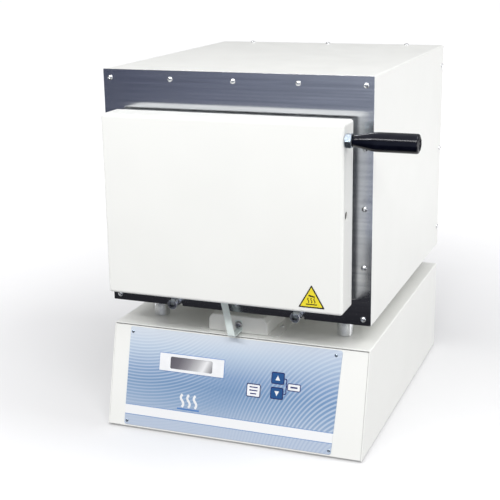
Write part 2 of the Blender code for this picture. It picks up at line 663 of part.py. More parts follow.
def make_arm(name, x):
    """A hinge arm: an eye on the pin, a web up to the door, and a flange on the door's back."""
    arm_front = DOOR_REAR + GAP - HINGE_Y
    flange_low = DOOR_Z + 0.004 - HINGE_Z
    flange_high = 0.040
    eye_half = ARM_T / 2 - 0.0002
    eye = rods([((x - eye_half, 0, 0), (x + eye_half, 0, 0))], EYE_R, 24)
    arm = add(f"hinge_arm_{name}", eye, ZINC, hinge)
    merge(arm, cubes([((x - ARM_T / 2, arm_front + GAP, 0),
                       (x + ARM_T / 2, EYE_R - GAP, flange_high - GAP))]))
    merge(arm, cubes([((x - FLANGE_HALF, arm_front, flange_low),
                       (x + FLANGE_HALF, arm_front + FLANGE_T, flange_high))]))
    cut(arm, rods([((x - 0.02, 0, 0), (x + 0.02, 0, 0))], PIN_R + GAP, 16))


def in_door(x, y, z):
    """A design-frame point, counted from the hinge axis."""
    return x, y - HINGE_Y, z - HINGE_Z


def make_door():
    """The door, built about its hinge axis."""
    half = DOOR_W / 2
    pan = folded_sheet("door_pan", in_door(-half, DOOR_FRONT, DOOR_Z), in_door(half, DOOR_REAR, DOOR_TOP),
                       ("rear",), WHITE, 0, 0.004)
    pan.parent = hinge
    inner = half - SHEET - LINER_GAP
    floor, roof = DOOR_Z + SHEET + LINER_GAP, DOOR_TOP - SHEET - LINER_GAP
    liner = box("door_liner", in_door(-inner, DOOR_REAR - SHEET, floor), in_door(inner, DOOR_REAR, roof),
                STAINLESS, hinge)
    plug_w, plug_h = MOUTH_W / 2 - PLUG_CLEAR, MOUTH_H / 2 - PLUG_CLEAR
    cut(liner, cubes([(in_door(-plug_w - GAP, -0.05, MUFFLE_Z - plug_h - GAP),
                       in_door(plug_w + GAP, 0.05, MUFFLE_Z + plug_h + GAP))]))
    fill = box("door_insulation", in_door(-inner + FILL_INSET, DOOR_FRONT + 0.008, floor + FILL_INSET),
               in_door(inner - FILL_INSET, DOOR_REAR - SHEET - GAP, roof - FILL_INSET), FIBRE, hinge)
    merge(fill, tapered_plug(plug_w, plug_h))
    for y, z, radius, sides in ((SIDE_HOLE_Y, HOUSING_Z + 0.1594, SIDE_HOLE_R, 20),
                                (HANDLE_Y, HANDLE_Z, STUD_R + GAP, 16)):
        cut(pan, rods([(in_door(half - THROUGH, y, z), in_door(half + THROUGH, y, z))], radius, sides))
    make_handle(in_door(0, HANDLE_Y, HANDLE_Z), half)
    arm_front = DOOR_REAR + GAP + FLANGE_T
    places = [in_door(side * BAR_X + dx, arm_front, HINGE_Z + 0.032)
              for side in (-1, 1) for dx in (-0.010, 0.010)]
    arms = [bpy.data.objects["hinge_arm_left"], bpy.data.objects["hinge_arm_right"]]
    screw_holes((*arms, liner, fill), places, (0, -1, 0))
    make_sign()


def tapered_plug(half_w, half_h):
    """The step on the insulation that enters the muffle's mouth, narrower at its inner end."""
    plug = cubes([(in_door(-half_w, DOOR_REAR - 0.010, MUFFLE_Z - half_h),
                   in_door(half_w, PLUG_REACH, MUFFLE_Z + half_h))])
    middle = Vector(in_door(0, 0, MUFFLE_Z))
    for vert in plug.vertices:
        if vert.co.y > middle.y:
            vert.co.x -= math.copysign(PLUG_TAPER, vert.co.x)
            vert.co.z -= math.copysign(PLUG_TAPER, vert.co.z - middle.z)
    return plug


def make_sign():
    """A blank triangular sign on the door's front."""
    left, right, height, thick = 0.1077, 0.1444, 0.0315, 0.0004
    low = in_door(left, DOOR_FRONT - GAP - thick / 2, HOUSING_Z + 0.0378)
    sign = bpy.data.curves.new("warning_plate", "CURVE")
    sign.dimensions = "2D"
    sign.fill_mode = "BOTH"
    sign.extrude = thick / 2
    outline = sign.splines.new("POLY")
    outline.use_cyclic_u = True
    corners = triangle_outline(right - left, height, 0.0018)
    outline.points.add(len(corners) - 1)
    for knot, (x, z) in zip(outline.points, corners):
        knot.co = (x, z, 0, 1)
    add("warning_plate", sign, WARNING, hinge, low, (math.pi / 2, 0, 0))


def triangle_outline(width, height, radius):
    """A triangle on its base with small round corners."""
    corners = [Vector((0, 0)), Vector((width, 0)), Vector((width / 2, height))]
    points = []
    for i, corner in enumerate(corners):
        back = (corners[i - 1] - corner).normalized()
        ahead = (corners[(i + 1) % 3] - corner).normalized()
        for part in (0, 0.5, 1):
            pull = back * (1 - part) ** 2 + ahead * part ** 2
            points.append(corner + pull * radius)
    return points


def make_handle(axis, half):
    """A hexagon standoff, a stud and a tapered grip, pointing to the right."""
    _, y, z = axis
    corner_r = NUT_AF / 2 / math.cos(math.pi / 6)
    run = ((half + GAP, y, z), (NUT_END_X - GAP, y, z))
    nut = add("handle_nut", rods([run], corner_r, 6), ZINC, hinge)
    cut(nut, rods([((half - THROUGH, y, z), (NUT_END_X + THROUGH, y, z))], STUD_R + GAP, 16))
    stud_end = half + 0.040
    add("handle_stud", rods([((half - 0.007, y, z), (stud_end, y, z))], STUD_R, 16), ZINC, hinge)
    start, end = NUT_END_X + GAP, GRIP_END_X
    bore = stud_end + 0.002
    profile = [(0, end - 0.003), (0.003, end - 0.003), (0.004, end - GAP), (0.0095, end),
               (0.0115, end - 0.002), (GRIP_R, end - 0.005), (GRIP_R, 0.206), (0.0118, 0.2025),
               (0.0090, 0.189), (0.0067, start + 0.001), (0.0062, start), (STUD_R + GAP, start),
               (STUD_R + GAP, bore), (0, bore)]
    turned("handle_grip", profile, BLACK, hinge, (0, y, z), (0, math.pi / 2, 0), 28)


cover, base_back = make_base()
make_panel()
make_electrics()
make_rear_fittings(base_back)
guard = make_between()
make_strip(guard)
for screw_x, side in ((GUARD_LEFT - GUARD_FLANGE / 2, "left"), (GUARD_RIGHT + GUARD_FLANGE / 2, "right")):
    screw(f"guard_screw_{side}", (screw_x, GUARD_SCREW_Y, BASE_TOP + GAP + GUARD_T), (0, 0, -1),
          (guard, cover), POLISHED, (0.003, 0.0018), (0.0015, 0.006))
chamber_back = make_housing()
make_hot_parts(chamber_back)
make_hinge()
make_door()
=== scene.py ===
"""Looks of a small electric muffle furnace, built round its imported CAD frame.

Metres, +Z up, the front faces -Y. Places are worked out from the CAD nodes: CX is the middle of the
cabinet, FY the face of its steel front plate, and at(x, y, z) counts from there.
"""

import json
import math

import bmesh
import bpy
from mathutils import Matrix, Vector


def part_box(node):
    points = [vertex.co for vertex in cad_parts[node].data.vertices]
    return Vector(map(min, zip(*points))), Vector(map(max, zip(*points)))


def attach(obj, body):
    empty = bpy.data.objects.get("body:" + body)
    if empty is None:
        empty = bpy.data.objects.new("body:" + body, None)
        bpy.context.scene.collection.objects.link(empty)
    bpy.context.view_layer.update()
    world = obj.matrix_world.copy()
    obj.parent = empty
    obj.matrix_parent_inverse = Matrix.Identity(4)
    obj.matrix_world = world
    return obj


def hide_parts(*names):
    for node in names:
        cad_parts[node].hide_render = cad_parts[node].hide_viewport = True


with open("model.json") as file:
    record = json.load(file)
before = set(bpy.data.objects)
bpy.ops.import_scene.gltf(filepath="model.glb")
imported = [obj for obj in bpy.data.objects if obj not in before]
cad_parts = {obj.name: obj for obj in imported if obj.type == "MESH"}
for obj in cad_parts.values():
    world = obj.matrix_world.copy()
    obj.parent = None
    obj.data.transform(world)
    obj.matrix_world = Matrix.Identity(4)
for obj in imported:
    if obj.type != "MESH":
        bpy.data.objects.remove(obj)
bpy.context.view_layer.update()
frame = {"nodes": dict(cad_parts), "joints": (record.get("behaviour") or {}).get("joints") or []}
nodes = frame["nodes"]

# ---------------------------------------------------------------- places taken from the frame
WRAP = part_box("housing_wrap")
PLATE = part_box("front_plate")
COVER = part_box("base_cover")
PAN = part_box("door_pan")
CX = (WRAP[0].x + WRAP[1].x) / 2
FY = PLATE[0].y
HALF = (WRAP[1].x - WRAP[0].x) / 2
BACK = WRAP[1].y - FY
BASE_TOP = COVER[1].z
HOUSING_Z = WRAP[0].z
HOUSING_TOP = WRAP[1].z
SLOPE_RUN = FY - COVER[0].y
SLOPE = math.atan2(SLOPE_RUN, BASE_TOP - COVER[0].z)
SLOPE_LEN = math.hypot(SLOPE_RUN, BASE_TOP - COVER[0].z)
SHEET = 0.0015
GAP = 0.0003
THROUGH = 0.01          # how far a cutter reaches past a sheet

ROOT, DOOR = "furnace", "door"


def at(x, y, z):
    return Vector((x + CX, y + FY, z))


def box_middle(name):
    low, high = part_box(name)
    return (Vector(low) + Vector(high)) / 2


# the control panel's plane: x to the right, y up the slope, z outward, from the top front edge
PANEL = Matrix.Translation(at(0, 0, BASE_TOP)) @ Matrix.Rotation(math.pi / 2 - SLOPE, 4, "X")


# ---------------------------------------------------------------- materials
class Shader:
    """A node material, built from the shader back to its sources."""

    def __init__(self, name, colour, roughness, metallic=0.0, **sockets):
        self.material = bpy.data.materials.new(name)
        self.material.use_nodes = True
        self.tree = self.material.node_tree
        self.bsdf = self.tree.nodes["Principled BSDF"]
        self.set("Base Color", (*colour, 1))
        self.set("Roughness", roughness)
        self.set("Metallic", metallic)
        for socket, value in sockets.items():
            self.set(socket.replace("_", " "), value)

    def set(self, socket, value):
        self.bsdf.inputs[socket].default_value = value

    def node(self, kind, settings=None, **inputs):
        made = self.tree.nodes.new("ShaderNode" + kind)
        for key, value in (settings or {}).items():
            setattr(made, key, value)
        for key, value in inputs.items():
            self.feed(made, key, value)
        return made

    def feed(self, node, key, value):
        socket = node.inputs[int(key[1:]) if key[0] == "i" and key[1:].isdigit() else key.replace("_", " ")]
        if isinstance(value, bpy.types.NodeSocket):
            self.tree.links.new(value, socket)
        else:
            socket.default_value = value

    def coordinates(self, scale=(1, 1, 1)):
        place = self.node("TexCoord").outputs["Object"]
        return self.node("Mapping", Vector=place, Scale=scale).outputs["Vector"]

    def noise(self, size, detail=3.0, stretch=(1, 1, 1), roughness=0.5):
        """Noise whose features are about size metres across, stretched along the axes."""
        scale = [1 / (size * s) for s in stretch]
        return self.node("TexNoise", Vector=self.coordinates(scale), Scale=1.0, Detail=detail,
                         Roughness=roughness).outputs["Fac"]

    def math(self, operation, first, second=0.0, clamp=False):
        made = self.node("Math", {"operation": operation, "use_clamp": clamp}, i0=first, i1=second)
        return made.outputs[0]

    def ramp(self, fac, stops):
        """A colour ramp of (position, colour) stops. A colour may be one number for grey."""
        made = self.node("ValToRGB", Fac=fac)
        points = made.color_ramp.elements
        while len(points) < len(stops):
            points.new(1.0)
        for point, (position, colour) in zip(points, stops):
            point.position = position
            point.color = (*(colour if isinstance(colour, tuple) else (colour,) * 3), 1)
        return made.outputs["Color"]

    def mix(self, fac, first, second, blend="MIX"):
        made = self.node("Mix", {"data_type": "RGBA", "blend_type": blend})
        self.feed(made, "i0", fac)
        for key, value in (("i6", first), ("i7", second)):
            self.feed(made, key, (*value, 1) if isinstance(value, tuple) and len(value) == 3 else value)
        return made.outputs[2]

    def range(self, value, low, high, new_low, new_high):
        return self.node("MapRange", Value=value, From_Min=low, From_Max=high, To_Min=new_low,
                         To_Max=new_high).outputs[0]

    def bump(self, height, distance, strength):
        made = self.node("Bump", Height=height, Distance=distance, Strength=strength)
        self.feed(self.bsdf, "Normal", made.outputs["Normal"])

    def place(self):
        """The object's own coordinates, apart: outputs X, Y and Z."""
        return self.node("SeparateXYZ", Vector=self.node("TexCoord").outputs["Object"]).outputs

    def colour(self, source):
        self.feed(self.bsdf, "Base_Color", source)

    def drift(self, noise, low, high, first, second, most=1.0):
        """Colours the surface from first towards second as the noise goes from low to high."""
        self.colour(self.mix(self.range(noise, low, high, 0.0, most), first, second))

    def roughness(self, source):
        self.feed(self.bsdf, "Roughness", source)


def dimmed(colour, share):
    return tuple(c * share for c in colour)


def enamel(name, colour=(0.90, 0.905, 0.875)):
    """Baked white enamel: a little tone drift and a soft gloss."""
    look = Shader(name, colour, 0.32, Specular_IOR_Level=0.45)
    look.drift(look.noise(0.09, 2.0), 0.3, 0.7, colour, dimmed(colour, 0.98))
    look.roughness(look.range(look.noise(0.03, 2.0), 0.3, 0.7, 0.30, 0.36))
    return look.material


def brushed(name, colour, roughness, direction=(40, 1, 1), streak=0.0006, blotch=0.10, anisotropic=0.4):
    """Brushed sheet metal: long fine streaks one way, cloudy handling marks, heat-tint drift."""
    look = Shader(name, colour, roughness, 1.0, Anisotropic=anisotropic)
    grain = look.noise(streak, 3.0, direction, 0.6)
    clouds = look.noise(0.05, 4.0, (2.0, 1, 1))
    look.drift(clouds, 0.3, 0.7, colour, dimmed(colour, 1 - blotch))
    rough = look.range(grain, 0.3, 0.7, roughness * 0.8, roughness * 1.25)
    look.roughness(look.math("ADD", rough, look.range(clouds, 0.4, 0.7, 0.0, 0.05)))
    look.bump(grain, 0.00002, 0.25)
    return look.material


def plate_steel():
    """The front plate: horizontally streaked stainless, whose reflections smear sideways."""
    look = Shader("front_plate_steel", (0.65, 0.665, 0.69), 0.15, 1.0, Anisotropic=1.0)
    streaks = look.noise(0.0045, 3.0, (45, 1, 1), 0.55)
    clouds = look.noise(0.035, 3.0, (2.5, 1, 1))
    tone = look.ramp(streaks, ((0.32, (0.54, 0.555, 0.58)), (0.50, (0.65, 0.665, 0.69)),
                               (0.68, (0.74, 0.75, 0.76))))
    look.drift(clouds, 0.35, 0.7, tone, (0.55, 0.565, 0.59), 0.5)
    look.roughness(look.range(clouds, 0.3, 0.7, 0.13, 0.18))
    look.bump(look.noise(0.0004, 2.0, (60, 1, 1)), 0.000004, 0.2)
    return look.material


def polished(name, colour, roughness, turned=0.0):
    """Turned, polished steel: fine rings from the lathe and faint wipe marks."""
    look = Shader(name, colour, roughness, 1.0, Anisotropic=turned,
                  Anisotropic_Rotation=0.25 if turned else 0.0)
    rings = look.noise(0.0006, 2.0, (60, 60, 1))
    wipes = look.noise(0.02, 2.0)
    look.drift(wipes, 0.35, 0.7, colour, dimmed(colour, 0.96))
    look.roughness(look.range(wipes, 0.3, 0.7, roughness * 0.9, roughness * 1.25))
    look.bump(rings, 0.000004, 0.15)
    return look.material


def zinc(name, colour=(0.66, 0.70, 0.72), roughness=0.28):
    """Zinc plating: a fine spangle and cloudy passivation."""
    look = Shader(name, colour, roughness, 0.9)
    cells = look.node("TexVoronoi", {"feature": "F1"}, Vector=look.coordinates((900, 900, 900)))
    spangle = cells.outputs["Distance"]
    clouds = look.noise(0.008, 4.0)
    warm = (colour[0] * 0.98, colour[1] * 0.96, colour[2] * 0.90)
    look.drift(clouds, 0.35, 0.65, colour, warm)
    look.roughness(look.range(spangle, 0, 0.8, roughness * 0.8, roughness * 1.4))
    look.bump(clouds, 0.00002, 0.3)
    return look.material


def phenolic():
    """Moulded black phenolic: deep gloss, a trace of flow haze and fine wear scratches."""
    look = Shader("black_phenolic", (0.002, 0.003, 0.008), 0.1, Specular_IOR_Level=0.35)
    haze = look.noise(0.010, 3.0)
    scratch = look.noise(0.0005, 2.0, (30, 1, 1))
    look.drift(haze, 0.4, 0.7, (0.0015, 0.002, 0.007), (0.004, 0.005, 0.012))
    look.roughness(look.range(scratch, 0.3, 0.75, 0.15, 0.18))
    return look.material


def plastic(name, colour, roughness=0.4, grain=0.0008, depth=0.00003):
    """Moulded plastic: a spark-eroded texture and slight tone drift."""
    look = Shader(name, colour, roughness)
    fine = look.noise(grain, 2.0)
    wide = look.noise(0.02, 3.0)
    look.drift(wide, 0.35, 0.7, colour, dimmed(colour, 0.9))
    look.roughness(look.range(fine, 0.3, 0.7, roughness * 0.85, roughness * 1.2))
    look.bump(fine, depth, 0.3)
    return look.material


def rubber():
    look = Shader("foot_rubber", (0.028, 0.028, 0.030), 0.75)
    dust = look.noise(0.006, 4.0)
    look.drift(dust, 0.45, 0.75, (0.024, 0.024, 0.026), (0.10, 0.10, 0.095), 0.5)
    look.bump(look.noise(0.001, 2.0), 0.00008, 0.5)
    return look.material


def fibre(name="ceramic_fibre", colour=(0.83, 0.80, 0.73)):
    """Vacuum-formed ceramic fibre: matted threads, pits and a scorched drift."""
    look = Shader(name, colour, 0.95, Sheen_Weight=0.25)
    matt = look.noise(0.0012, 5.0, (3, 1, 1), 0.7)
    scorch = look.noise(0.05, 4.0)
    look.drift(scorch, 0.45, 0.75, colour, (0.62, 0.52, 0.38), 0.7)
    look.bump(look.math("ADD", matt, look.noise(0.006, 3.0)), 0.0005, 0.8)
    return look.material


def fired_ceramic():
    """The muffle: cast refractory, sandy, with faint brown firing stains."""
    look = Shader("muffle_ceramic", (0.70, 0.60, 0.47), 0.85)
    sand = look.noise(0.0015, 4.0, roughness=0.7)
    stain = look.noise(0.045, 5.0)
    look.drift(stain, 0.4, 0.72, (0.74, 0.66, 0.54), (0.46, 0.33, 0.22))
    look.bump(sand, 0.0004, 0.7)
    return look.material


def heating_wire():
    look = Shader("heating_wire", (0.19, 0.16, 0.14), 0.6, 0.8)
    scale = look.noise(0.003, 4.0)
    look.colour(look.mix(scale, (0.12, 0.10, 0.09), (0.30, 0.25, 0.21)))
    look.bump(scale, 0.0001, 0.5)
    return look.material


def circuit_board():
    """Green laminate with a faint weave and copper tracks under the mask."""
    look = Shader("circuit_board", (0.02, 0.16, 0.07), 0.3, Coat_Weight=0.4)
    tracks = look.node("TexBrick", {"offset": 0.3}, Vector=look.coordinates((160, 160, 160)), Scale=1.0,
                       Color1=(0, 0, 0, 1), Color2=(0.2, 0.2, 0.2, 1), Mortar=(1, 1, 1, 1)).outputs["Color"]
    look.colour(look.mix(tracks, (0.015, 0.13, 0.06), (0.06, 0.26, 0.12)))
    look.bump(tracks, 0.00005, 0.5)
    return look.material


def laminations():
    look = Shader("transformer_iron", (0.20, 0.19, 0.18), 0.5, 0.8)
    sheets = look.node("TexWave", {"bands_direction": "Y"}, Vector=look.coordinates((1, 900, 1)), Scale=1.0,
                       Distortion=0.5).outputs["Fac"]
    look.colour(look.mix(sheets, (0.10, 0.09, 0.08), (0.28, 0.27, 0.26)))
    look.bump(sheets, 0.0002, 0.6)
    return look.material


def winding():
    look = Shader("copper_winding", (0.50, 0.22, 0.09), 0.35, 0.7, Coat_Weight=0.5)
    turns = look.node("TexWave", {"bands_direction": "Z"}, Vector=look.coordinates((1, 1, 900)), Scale=1.0,
                      Distortion=0.8).outputs["Fac"]
    look.colour(look.mix(turns, (0.30, 0.12, 0.05), (0.60, 0.28, 0.12)))
    look.bump(turns, 0.0004, 0.8)
    return look.material


# ---------------------------------------------------------------- the label's artwork
LABEL_BOX = (-0.164, 0.1528, 0.0038, 0.1458)    # left, right, and from and to down the slope
LABEL_LEAN = 0.006                              # how much narrower the sheet is at its foot
BAND = (0.1163, 0.1304)
INK = (0.045, 0.135, 0.39)
NAVY = (0.020, 0.030, 0.16)


def label_art():
    """Printed polyester: a blue wash with fine ripples, deeper towards the right, a painted highlight that pales
    the left edge, and a white band low down.
    """
    look = Shader("printed_label", (0.5, 0.6, 0.8), 0.28, Coat_Weight=0.35, Coat_Roughness=0.15)
    place = look.place()
    x, down = place["X"], look.math("MULTIPLY", place["Y"], -1.0)
    wash = look.ramp(look.range(down, LABEL_BOX[2], BAND[0], 0, 1), (
        (0.0, (0.80, 0.85, 0.92)), (0.22, (0.55, 0.66, 0.80)), (0.50, (0.25, 0.38, 0.60)),
        (0.66, (0.19, 0.325, 0.54)), (0.85, (0.27, 0.40, 0.60)), (1.0, (0.38, 0.49, 0.66))))
    # the wash turns deeper blue towards the right
    wash = look.mix(look.range(x, 0.02, 0.15, 0.0, 0.30), wash, (0.20, 0.33, 0.56))
    # painted highlight: the wash is mixed paler at the left edge, as if lit there
    wash = look.mix(look.range(x, LABEL_BOX[0], -0.10, 0.10, 0.0), wash, (0.70, 0.77, 0.87))
    ripples = ripple_mask(look)
    wash = look.mix(look.math("MULTIPLY", ripples, 0.50), wash, (0.80, 0.87, 0.95))
    foot = look.mix(look.math("MULTIPLY", ripples, 0.5), (0.56, 0.64, 0.77), (0.38, 0.49, 0.67))
    below = look.math("GREATER_THAN", down, BAND[1])
    above = look.math("LESS_THAN", down, BAND[0])
    rules = look.math("ADD", line_mask(look, down, BAND[0]), line_mask(look, down, BAND[1]), True)
    colour = look.mix(above, (1.0, 1.0, 1.0), wash)
    colour = look.mix(below, colour, foot)
    colour = look.mix(rules, colour, (0.20, 0.34, 0.62))
    look.colour(look.mix(1.0, colour, (0.90, 0.91, 0.92), "MULTIPLY"))
    look.roughness(look.range(look.noise(0.004, 3.0), 0.3, 0.7, 0.30, 0.36))
    return look.material


def line_mask(look, value, where, half_width=0.0005):
    off = look.math("ABSOLUTE", look.math("SUBTRACT", value, where))
    return look.math("LESS_THAN", off, half_width)


def ripple_mask(look):
    """Fine curved lines: shallow bowls on the left, which climb and arch over on the right."""
    place = look.node("TexCoord").outputs["Object"]
    x = look.node("SeparateXYZ", Vector=place).outputs["X"]
    total = None
    for centre, squeeze, reach, side in (((0.185, -0.215), 0.72, (0.10, 0.215), (-0.06, 0.01)),
                                         ((-0.150, 0.110), 1.0, (0.15, 0.24), (0.01, -0.06))):
        moved = look.node("Mapping", Vector=place, Location=(-centre[0], -centre[1] * squeeze, 0),
                          Scale=(1, squeeze, 0)).outputs["Vector"]
        rings = look.node("TexWave", {"wave_type": "RINGS", "rings_direction": "Z"}, Vector=moved,
                          Scale=70.0, Distortion=0.5, Detail=0.0, Detail_Scale=0.2).outputs["Fac"]
        thin = look.ramp(rings, ((0.35, 0.0), (0.85, 1.0)))
        near = look.node("VectorMath", {"operation": "LENGTH"}, i0=moved).outputs["Value"]
        part = look.math("MULTIPLY", thin, look.range(near, *reach, 1.0, 0.32))
        part = look.math("MULTIPLY", part, look.range(x, *side, 0.0, 1.0))
        total = part if total is None else look.math("ADD", total, part, True)
    return total


def display_art():
    """A character display seen through its window: grey film, with a painted reflection, a lighter diagonal
    streak, across it.
    """
    look = Shader("display_film", (0.2, 0.2, 0.22), 0.12, Coat_Weight=1.0, Coat_Roughness=0.03)
    place = look.place()
    # painted reflection: the film's grey rises to a pale streak and falls again along this diagonal
    reflection_sweep = look.math("ADD", place["X"], look.math("MULTIPLY", place["Y"], -0.5))
    tone = look.ramp(look.range(reflection_sweep, -0.078, -0.005, 0, 1), (
        (0.0, (0.12, 0.11, 0.13)), (0.25, (0.17, 0.16, 0.18)), (0.45, (0.32, 0.31, 0.33)),
        (0.64, (0.58, 0.58, 0.59)), (0.79, (0.92, 0.92, 0.93)), (0.86, (0.62, 0.62, 0.63)),
        (1.0, (0.17, 0.17, 0.19))))
    cells = look.node("TexBrick", {"offset": 0.0}, Vector=look.coordinates((1, 1, 1)), Scale=260.0,
                      Color1=(1, 1, 1, 1), Color2=(0.97, 0.97, 0.97, 1), Mortar=(0.90, 0.90, 0.90, 1),
                      Mortar_Size=0.04).outputs["Color"]
    look.colour(look.mix(1.0, tone, cells, "MULTIPLY"))
    return look.material


def warning_art():
    look = Shader("warning_yellow", (0.86, 0.72, 0.03), 0.35, Coat_Weight=0.3)
    wear = look.noise(0.004, 4.0)
    look.drift(wear, 0.4, 0.8, (0.90, 0.76, 0.03), (0.80, 0.64, 0.05), 0.6)
    look.bump(wear, 0.00003, 0.2)
    return look.material


WHITE = enamel("white_enamel")
WHITE_BASE = enamel("white_enamel_base", (0.90, 0.905, 0.875))
STEEL = plate_steel()
LINER_STEEL = brushed("door_liner_steel", (0.74, 0.75, 0.76), 0.5)
POLISHED = polished("polished_steel", (0.80, 0.81, 0.83), 0.20, 0.9)
SCREW_STEEL = polished("screw_steel", (0.78, 0.79, 0.80), 0.14)
BOLT_STEEL = polished("bolt_steel", (0.42, 0.42, 0.44), 0.10)
ZINC = zinc("zinc_plate", roughness=0.36)
NUT_ZINC = zinc("nut_zinc", (0.36, 0.42, 0.50), 0.20)
STRIP_ZINC = plastic("strip_tinned", (0.80, 0.88, 0.86), 0.35)
BLACK = phenolic()
DARK = plastic("dark_plastic", (0.022, 0.022, 0.024), 0.42)
RUBBER = rubber()
FIBRE = fibre()
CERAMIC = fired_ceramic()
LABEL = label_art()
DISPLAY = display_art()
BEZEL_WHITE = plastic("bezel_white", (0.93, 0.94, 0.96), 0.34, 0.0012, 0.00001)
KEY_BLUE = plastic("key_blue", (0.017, 0.090, 0.27), 0.34, 0.0015, 0.00001)
INK_NAVY = plastic("ink_navy", NAVY, 0.35, 0.0015, 0.00001)
INK_BLUE = plastic("ink_blue", (0.10, 0.24, 0.56), 0.35, 0.0015, 0.00001)
INK_WHITE = plastic("ink_white", (0.90, 0.91, 0.92), 0.35, 0.0015, 0.00001)
INK_BLACK = plastic("ink_black", (0.012, 0.012, 0.014), 0.35, 0.0015, 0.00001)
YELLOW = warning_art()


# ---------------------------------------------------------------- mesh tools
def piece(name, mesh, mat, body, slot, replaces=(), matrix=None):
    """Puts a mesh in the scene as a piece of the object."""
    made = bpy.data.objects.new(name, mesh)
    bpy.context.scene.collection.objects.link(made)
    mesh.materials.clear()
    mesh.materials.append(mat)
    if matrix is not None:
        made.matrix_world = matrix
    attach(made, body)
    if replaces:
        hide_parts(*replaces)
    return made


def helper(mesh, matrix=None):
    """A cutter: it isn't rendered, and it is removed by bake()."""
    made = bpy.data.objects.new("cutter", mesh)
    bpy.context.scene.collection.objects.link(made)
    if matrix is not None:
        made.matrix_world = matrix
    made.hide_render = True
    return made


def finished(form):
    mesh = bpy.data.meshes.new("form")
    form.to_mesh(mesh)
    form.free()
    return mesh


def sealed(form):
    """The mesh of a closed form, its faces turned outward."""
    bmesh.ops.recalc_face_normals(form, faces=form.faces)
    return finished(form)


def bridge(form, loops):
    """Faces between each loop of vertices and the next, all with as many vertices."""
    for a, b in zip(loops, loops[1:]):
        for i in range(len(a)):
            j = (i + 1) % len(a)
            form.faces.new((a[i], a[j], b[j], b[i]))


def cubes(boxes):
    form = bmesh.new()
    for low, high in boxes:
        size = Vector(high) - Vector(low)
        place = Matrix.Translation((Vector(low) + Vector(high)) / 2) @ Matrix.Diagonal((*size, 1))
        bmesh.ops.create_cube(form, size=1, matrix=place)
    return finished(form)


def rods(ends, radius, sides=48):
    form = bmesh.new()
    for start, stop in ends:
        run = Vector(stop) - Vector(start)
        turn = run.to_track_quat("Z", "Y").to_matrix().to_4x4()
        stand = Matrix.Translation((Vector(start) + Vector(stop)) / 2) @ turn
        bmesh.ops.create_cone(form, cap_ends=True, segments=sides, radius1=radius, radius2=radius,
                              depth=run.length, matrix=stand)
    return finished(form)


def lathe(profile, sides=64):
    """A mesh turned about Z from (radius, height) points; a zero radius closes it."""
    form = bmesh.new()
    verts = [form.verts.new((radius, 0, height)) for radius, height in profile]
    edges = [form.edges.new(pair) for pair in zip(verts, verts[1:])]
    bmesh.ops.spin(form, geom=verts + edges, cent=(0, 0, 0), axis=(0, 0, 1), dvec=(0, 0, 0),
                   angle=2 * math.pi, steps=sides, use_merge=True)
    bmesh.ops.remove_doubles(form, verts=form.verts, dist=1e-6)
    return sealed(form)


def rounded_corner(centre, radius, start, stop, steps=6):
    """Points (a, b) of an arc between two angles in degrees."""
    turns = [math.radians(start + (stop - start) * i / steps) for i in range(steps + 1)]
    return [(centre[0] + radius * math.cos(t), centre[1] + radius * math.sin(t)) for t in turns]


def rounded_rectangle(left, right, low, high, radius, steps=6):
    corners = ((right - radius, high - radius, 0), (left + radius, high - radius, 90),
               (left + radius, low + radius, 180), (right - radius, low + radius, 270))
    return [p for x, y, turn in corners for p in rounded_corner((x, y), radius, turn, turn + 90, steps)]


def slab(outline, low, high, edge=0.0):
    """A flat outline made into a plate between two heights, its upper edge eased."""
    form = bmesh.new()
    loops = [(outline, low), (outline, high - edge)]
    if edge:
        loops.append((shrunk(outline, edge), high))
    rings = [[form.verts.new((x, y, z)) for x, y in points] for points, z in loops]
    bridge(form, rings)
    form.faces.new(reversed(rings[0]))
    form.faces.new(rings[-1])
    return sealed(form)


def shrunk(outline, amount):
    """The outline moved inward by an amount, vertex by vertex."""
    points = [Vector(p) for p in outline]
    area = sum(a.x * b.y - b.x * a.y for a, b in zip(points, points[1:] + points[:1]))
    sign = 1 if area > 0 else -1
    made = []
    for i, point in enumerate(points):
        run = (points[(i + 1) % len(points)] - points[i - 1]).normalized()
        made.append(point + Vector((-run.y, run.x)) * amount * sign)
    return [tuple(p) for p in made]


def frame_ring(outer, inner, low, high):
    """A flat ring between two outlines of as many points."""
    form = bmesh.new()
    rings = [[form.verts.new((x, y, z)) for x, y in points]
             for points, z in ((outer, low), (outer, high), (inner, high), (inner, low))]
    bridge(form, rings + rings[:1])
    return sealed(form)


def ribbon(points, width, thick, closed=False):
    """A flat printed line of a width along points, standing thick above them."""
    form = bmesh.new()
    path = [Vector(p) for p in points]
    count = len(path)
    rows = []
    for i, point in enumerate(path):
        ahead = path[(i + 1) % count] if closed or i < count - 1 else point
        behind = path[i - 1] if closed or i else point
        run = (ahead - behind).normalized()
        side = Vector((-run.y, run.x, 0)) * width / 2
        rows.append([form.verts.new(point + side + Vector((0, 0, z))) for z in (0, thick)]
                    + [form.verts.new(point - side + Vector((0, 0, z))) for z in (thick, 0)])
    bridge(form, rows + (rows[:1] if closed else []))
    if not closed:
        form.faces.new(rows[0])
        form.faces.new(reversed(rows[-1]))
    return sealed(form)


def joined(meshes):
    form = bmesh.new()
    for mesh in meshes:
        form.from_mesh(mesh)
    return finished(form)


def folded(low, high, open_sides, shift=0.0):
    """The faces of a box of sheet metal, without those on its open sides."""
    form = bmesh.new()
    form.from_mesh(cubes([(low, high)]))
    middle = (Vector(low) + Vector(high)) / 2
    for vert in form.verts:
        if vert.co.z < middle.z and vert.co.y < middle.y:
            vert.co.y -= shift
    ways = {"left": (-1, 0, 0), "right": (1, 0, 0), "front": (0, -1, 0), "rear": (0, 1, 0),
            "bottom": (0, 0, -1), "top": (0, 0, 1)}
    form.normal_update()
    gone = [f for f in form.faces if any(f.normal.dot(Vector(ways[s])) > 0.9 for s in open_sides)]
    bmesh.ops.delete(form, geom=gone, context="FACES")
    return finished(form)


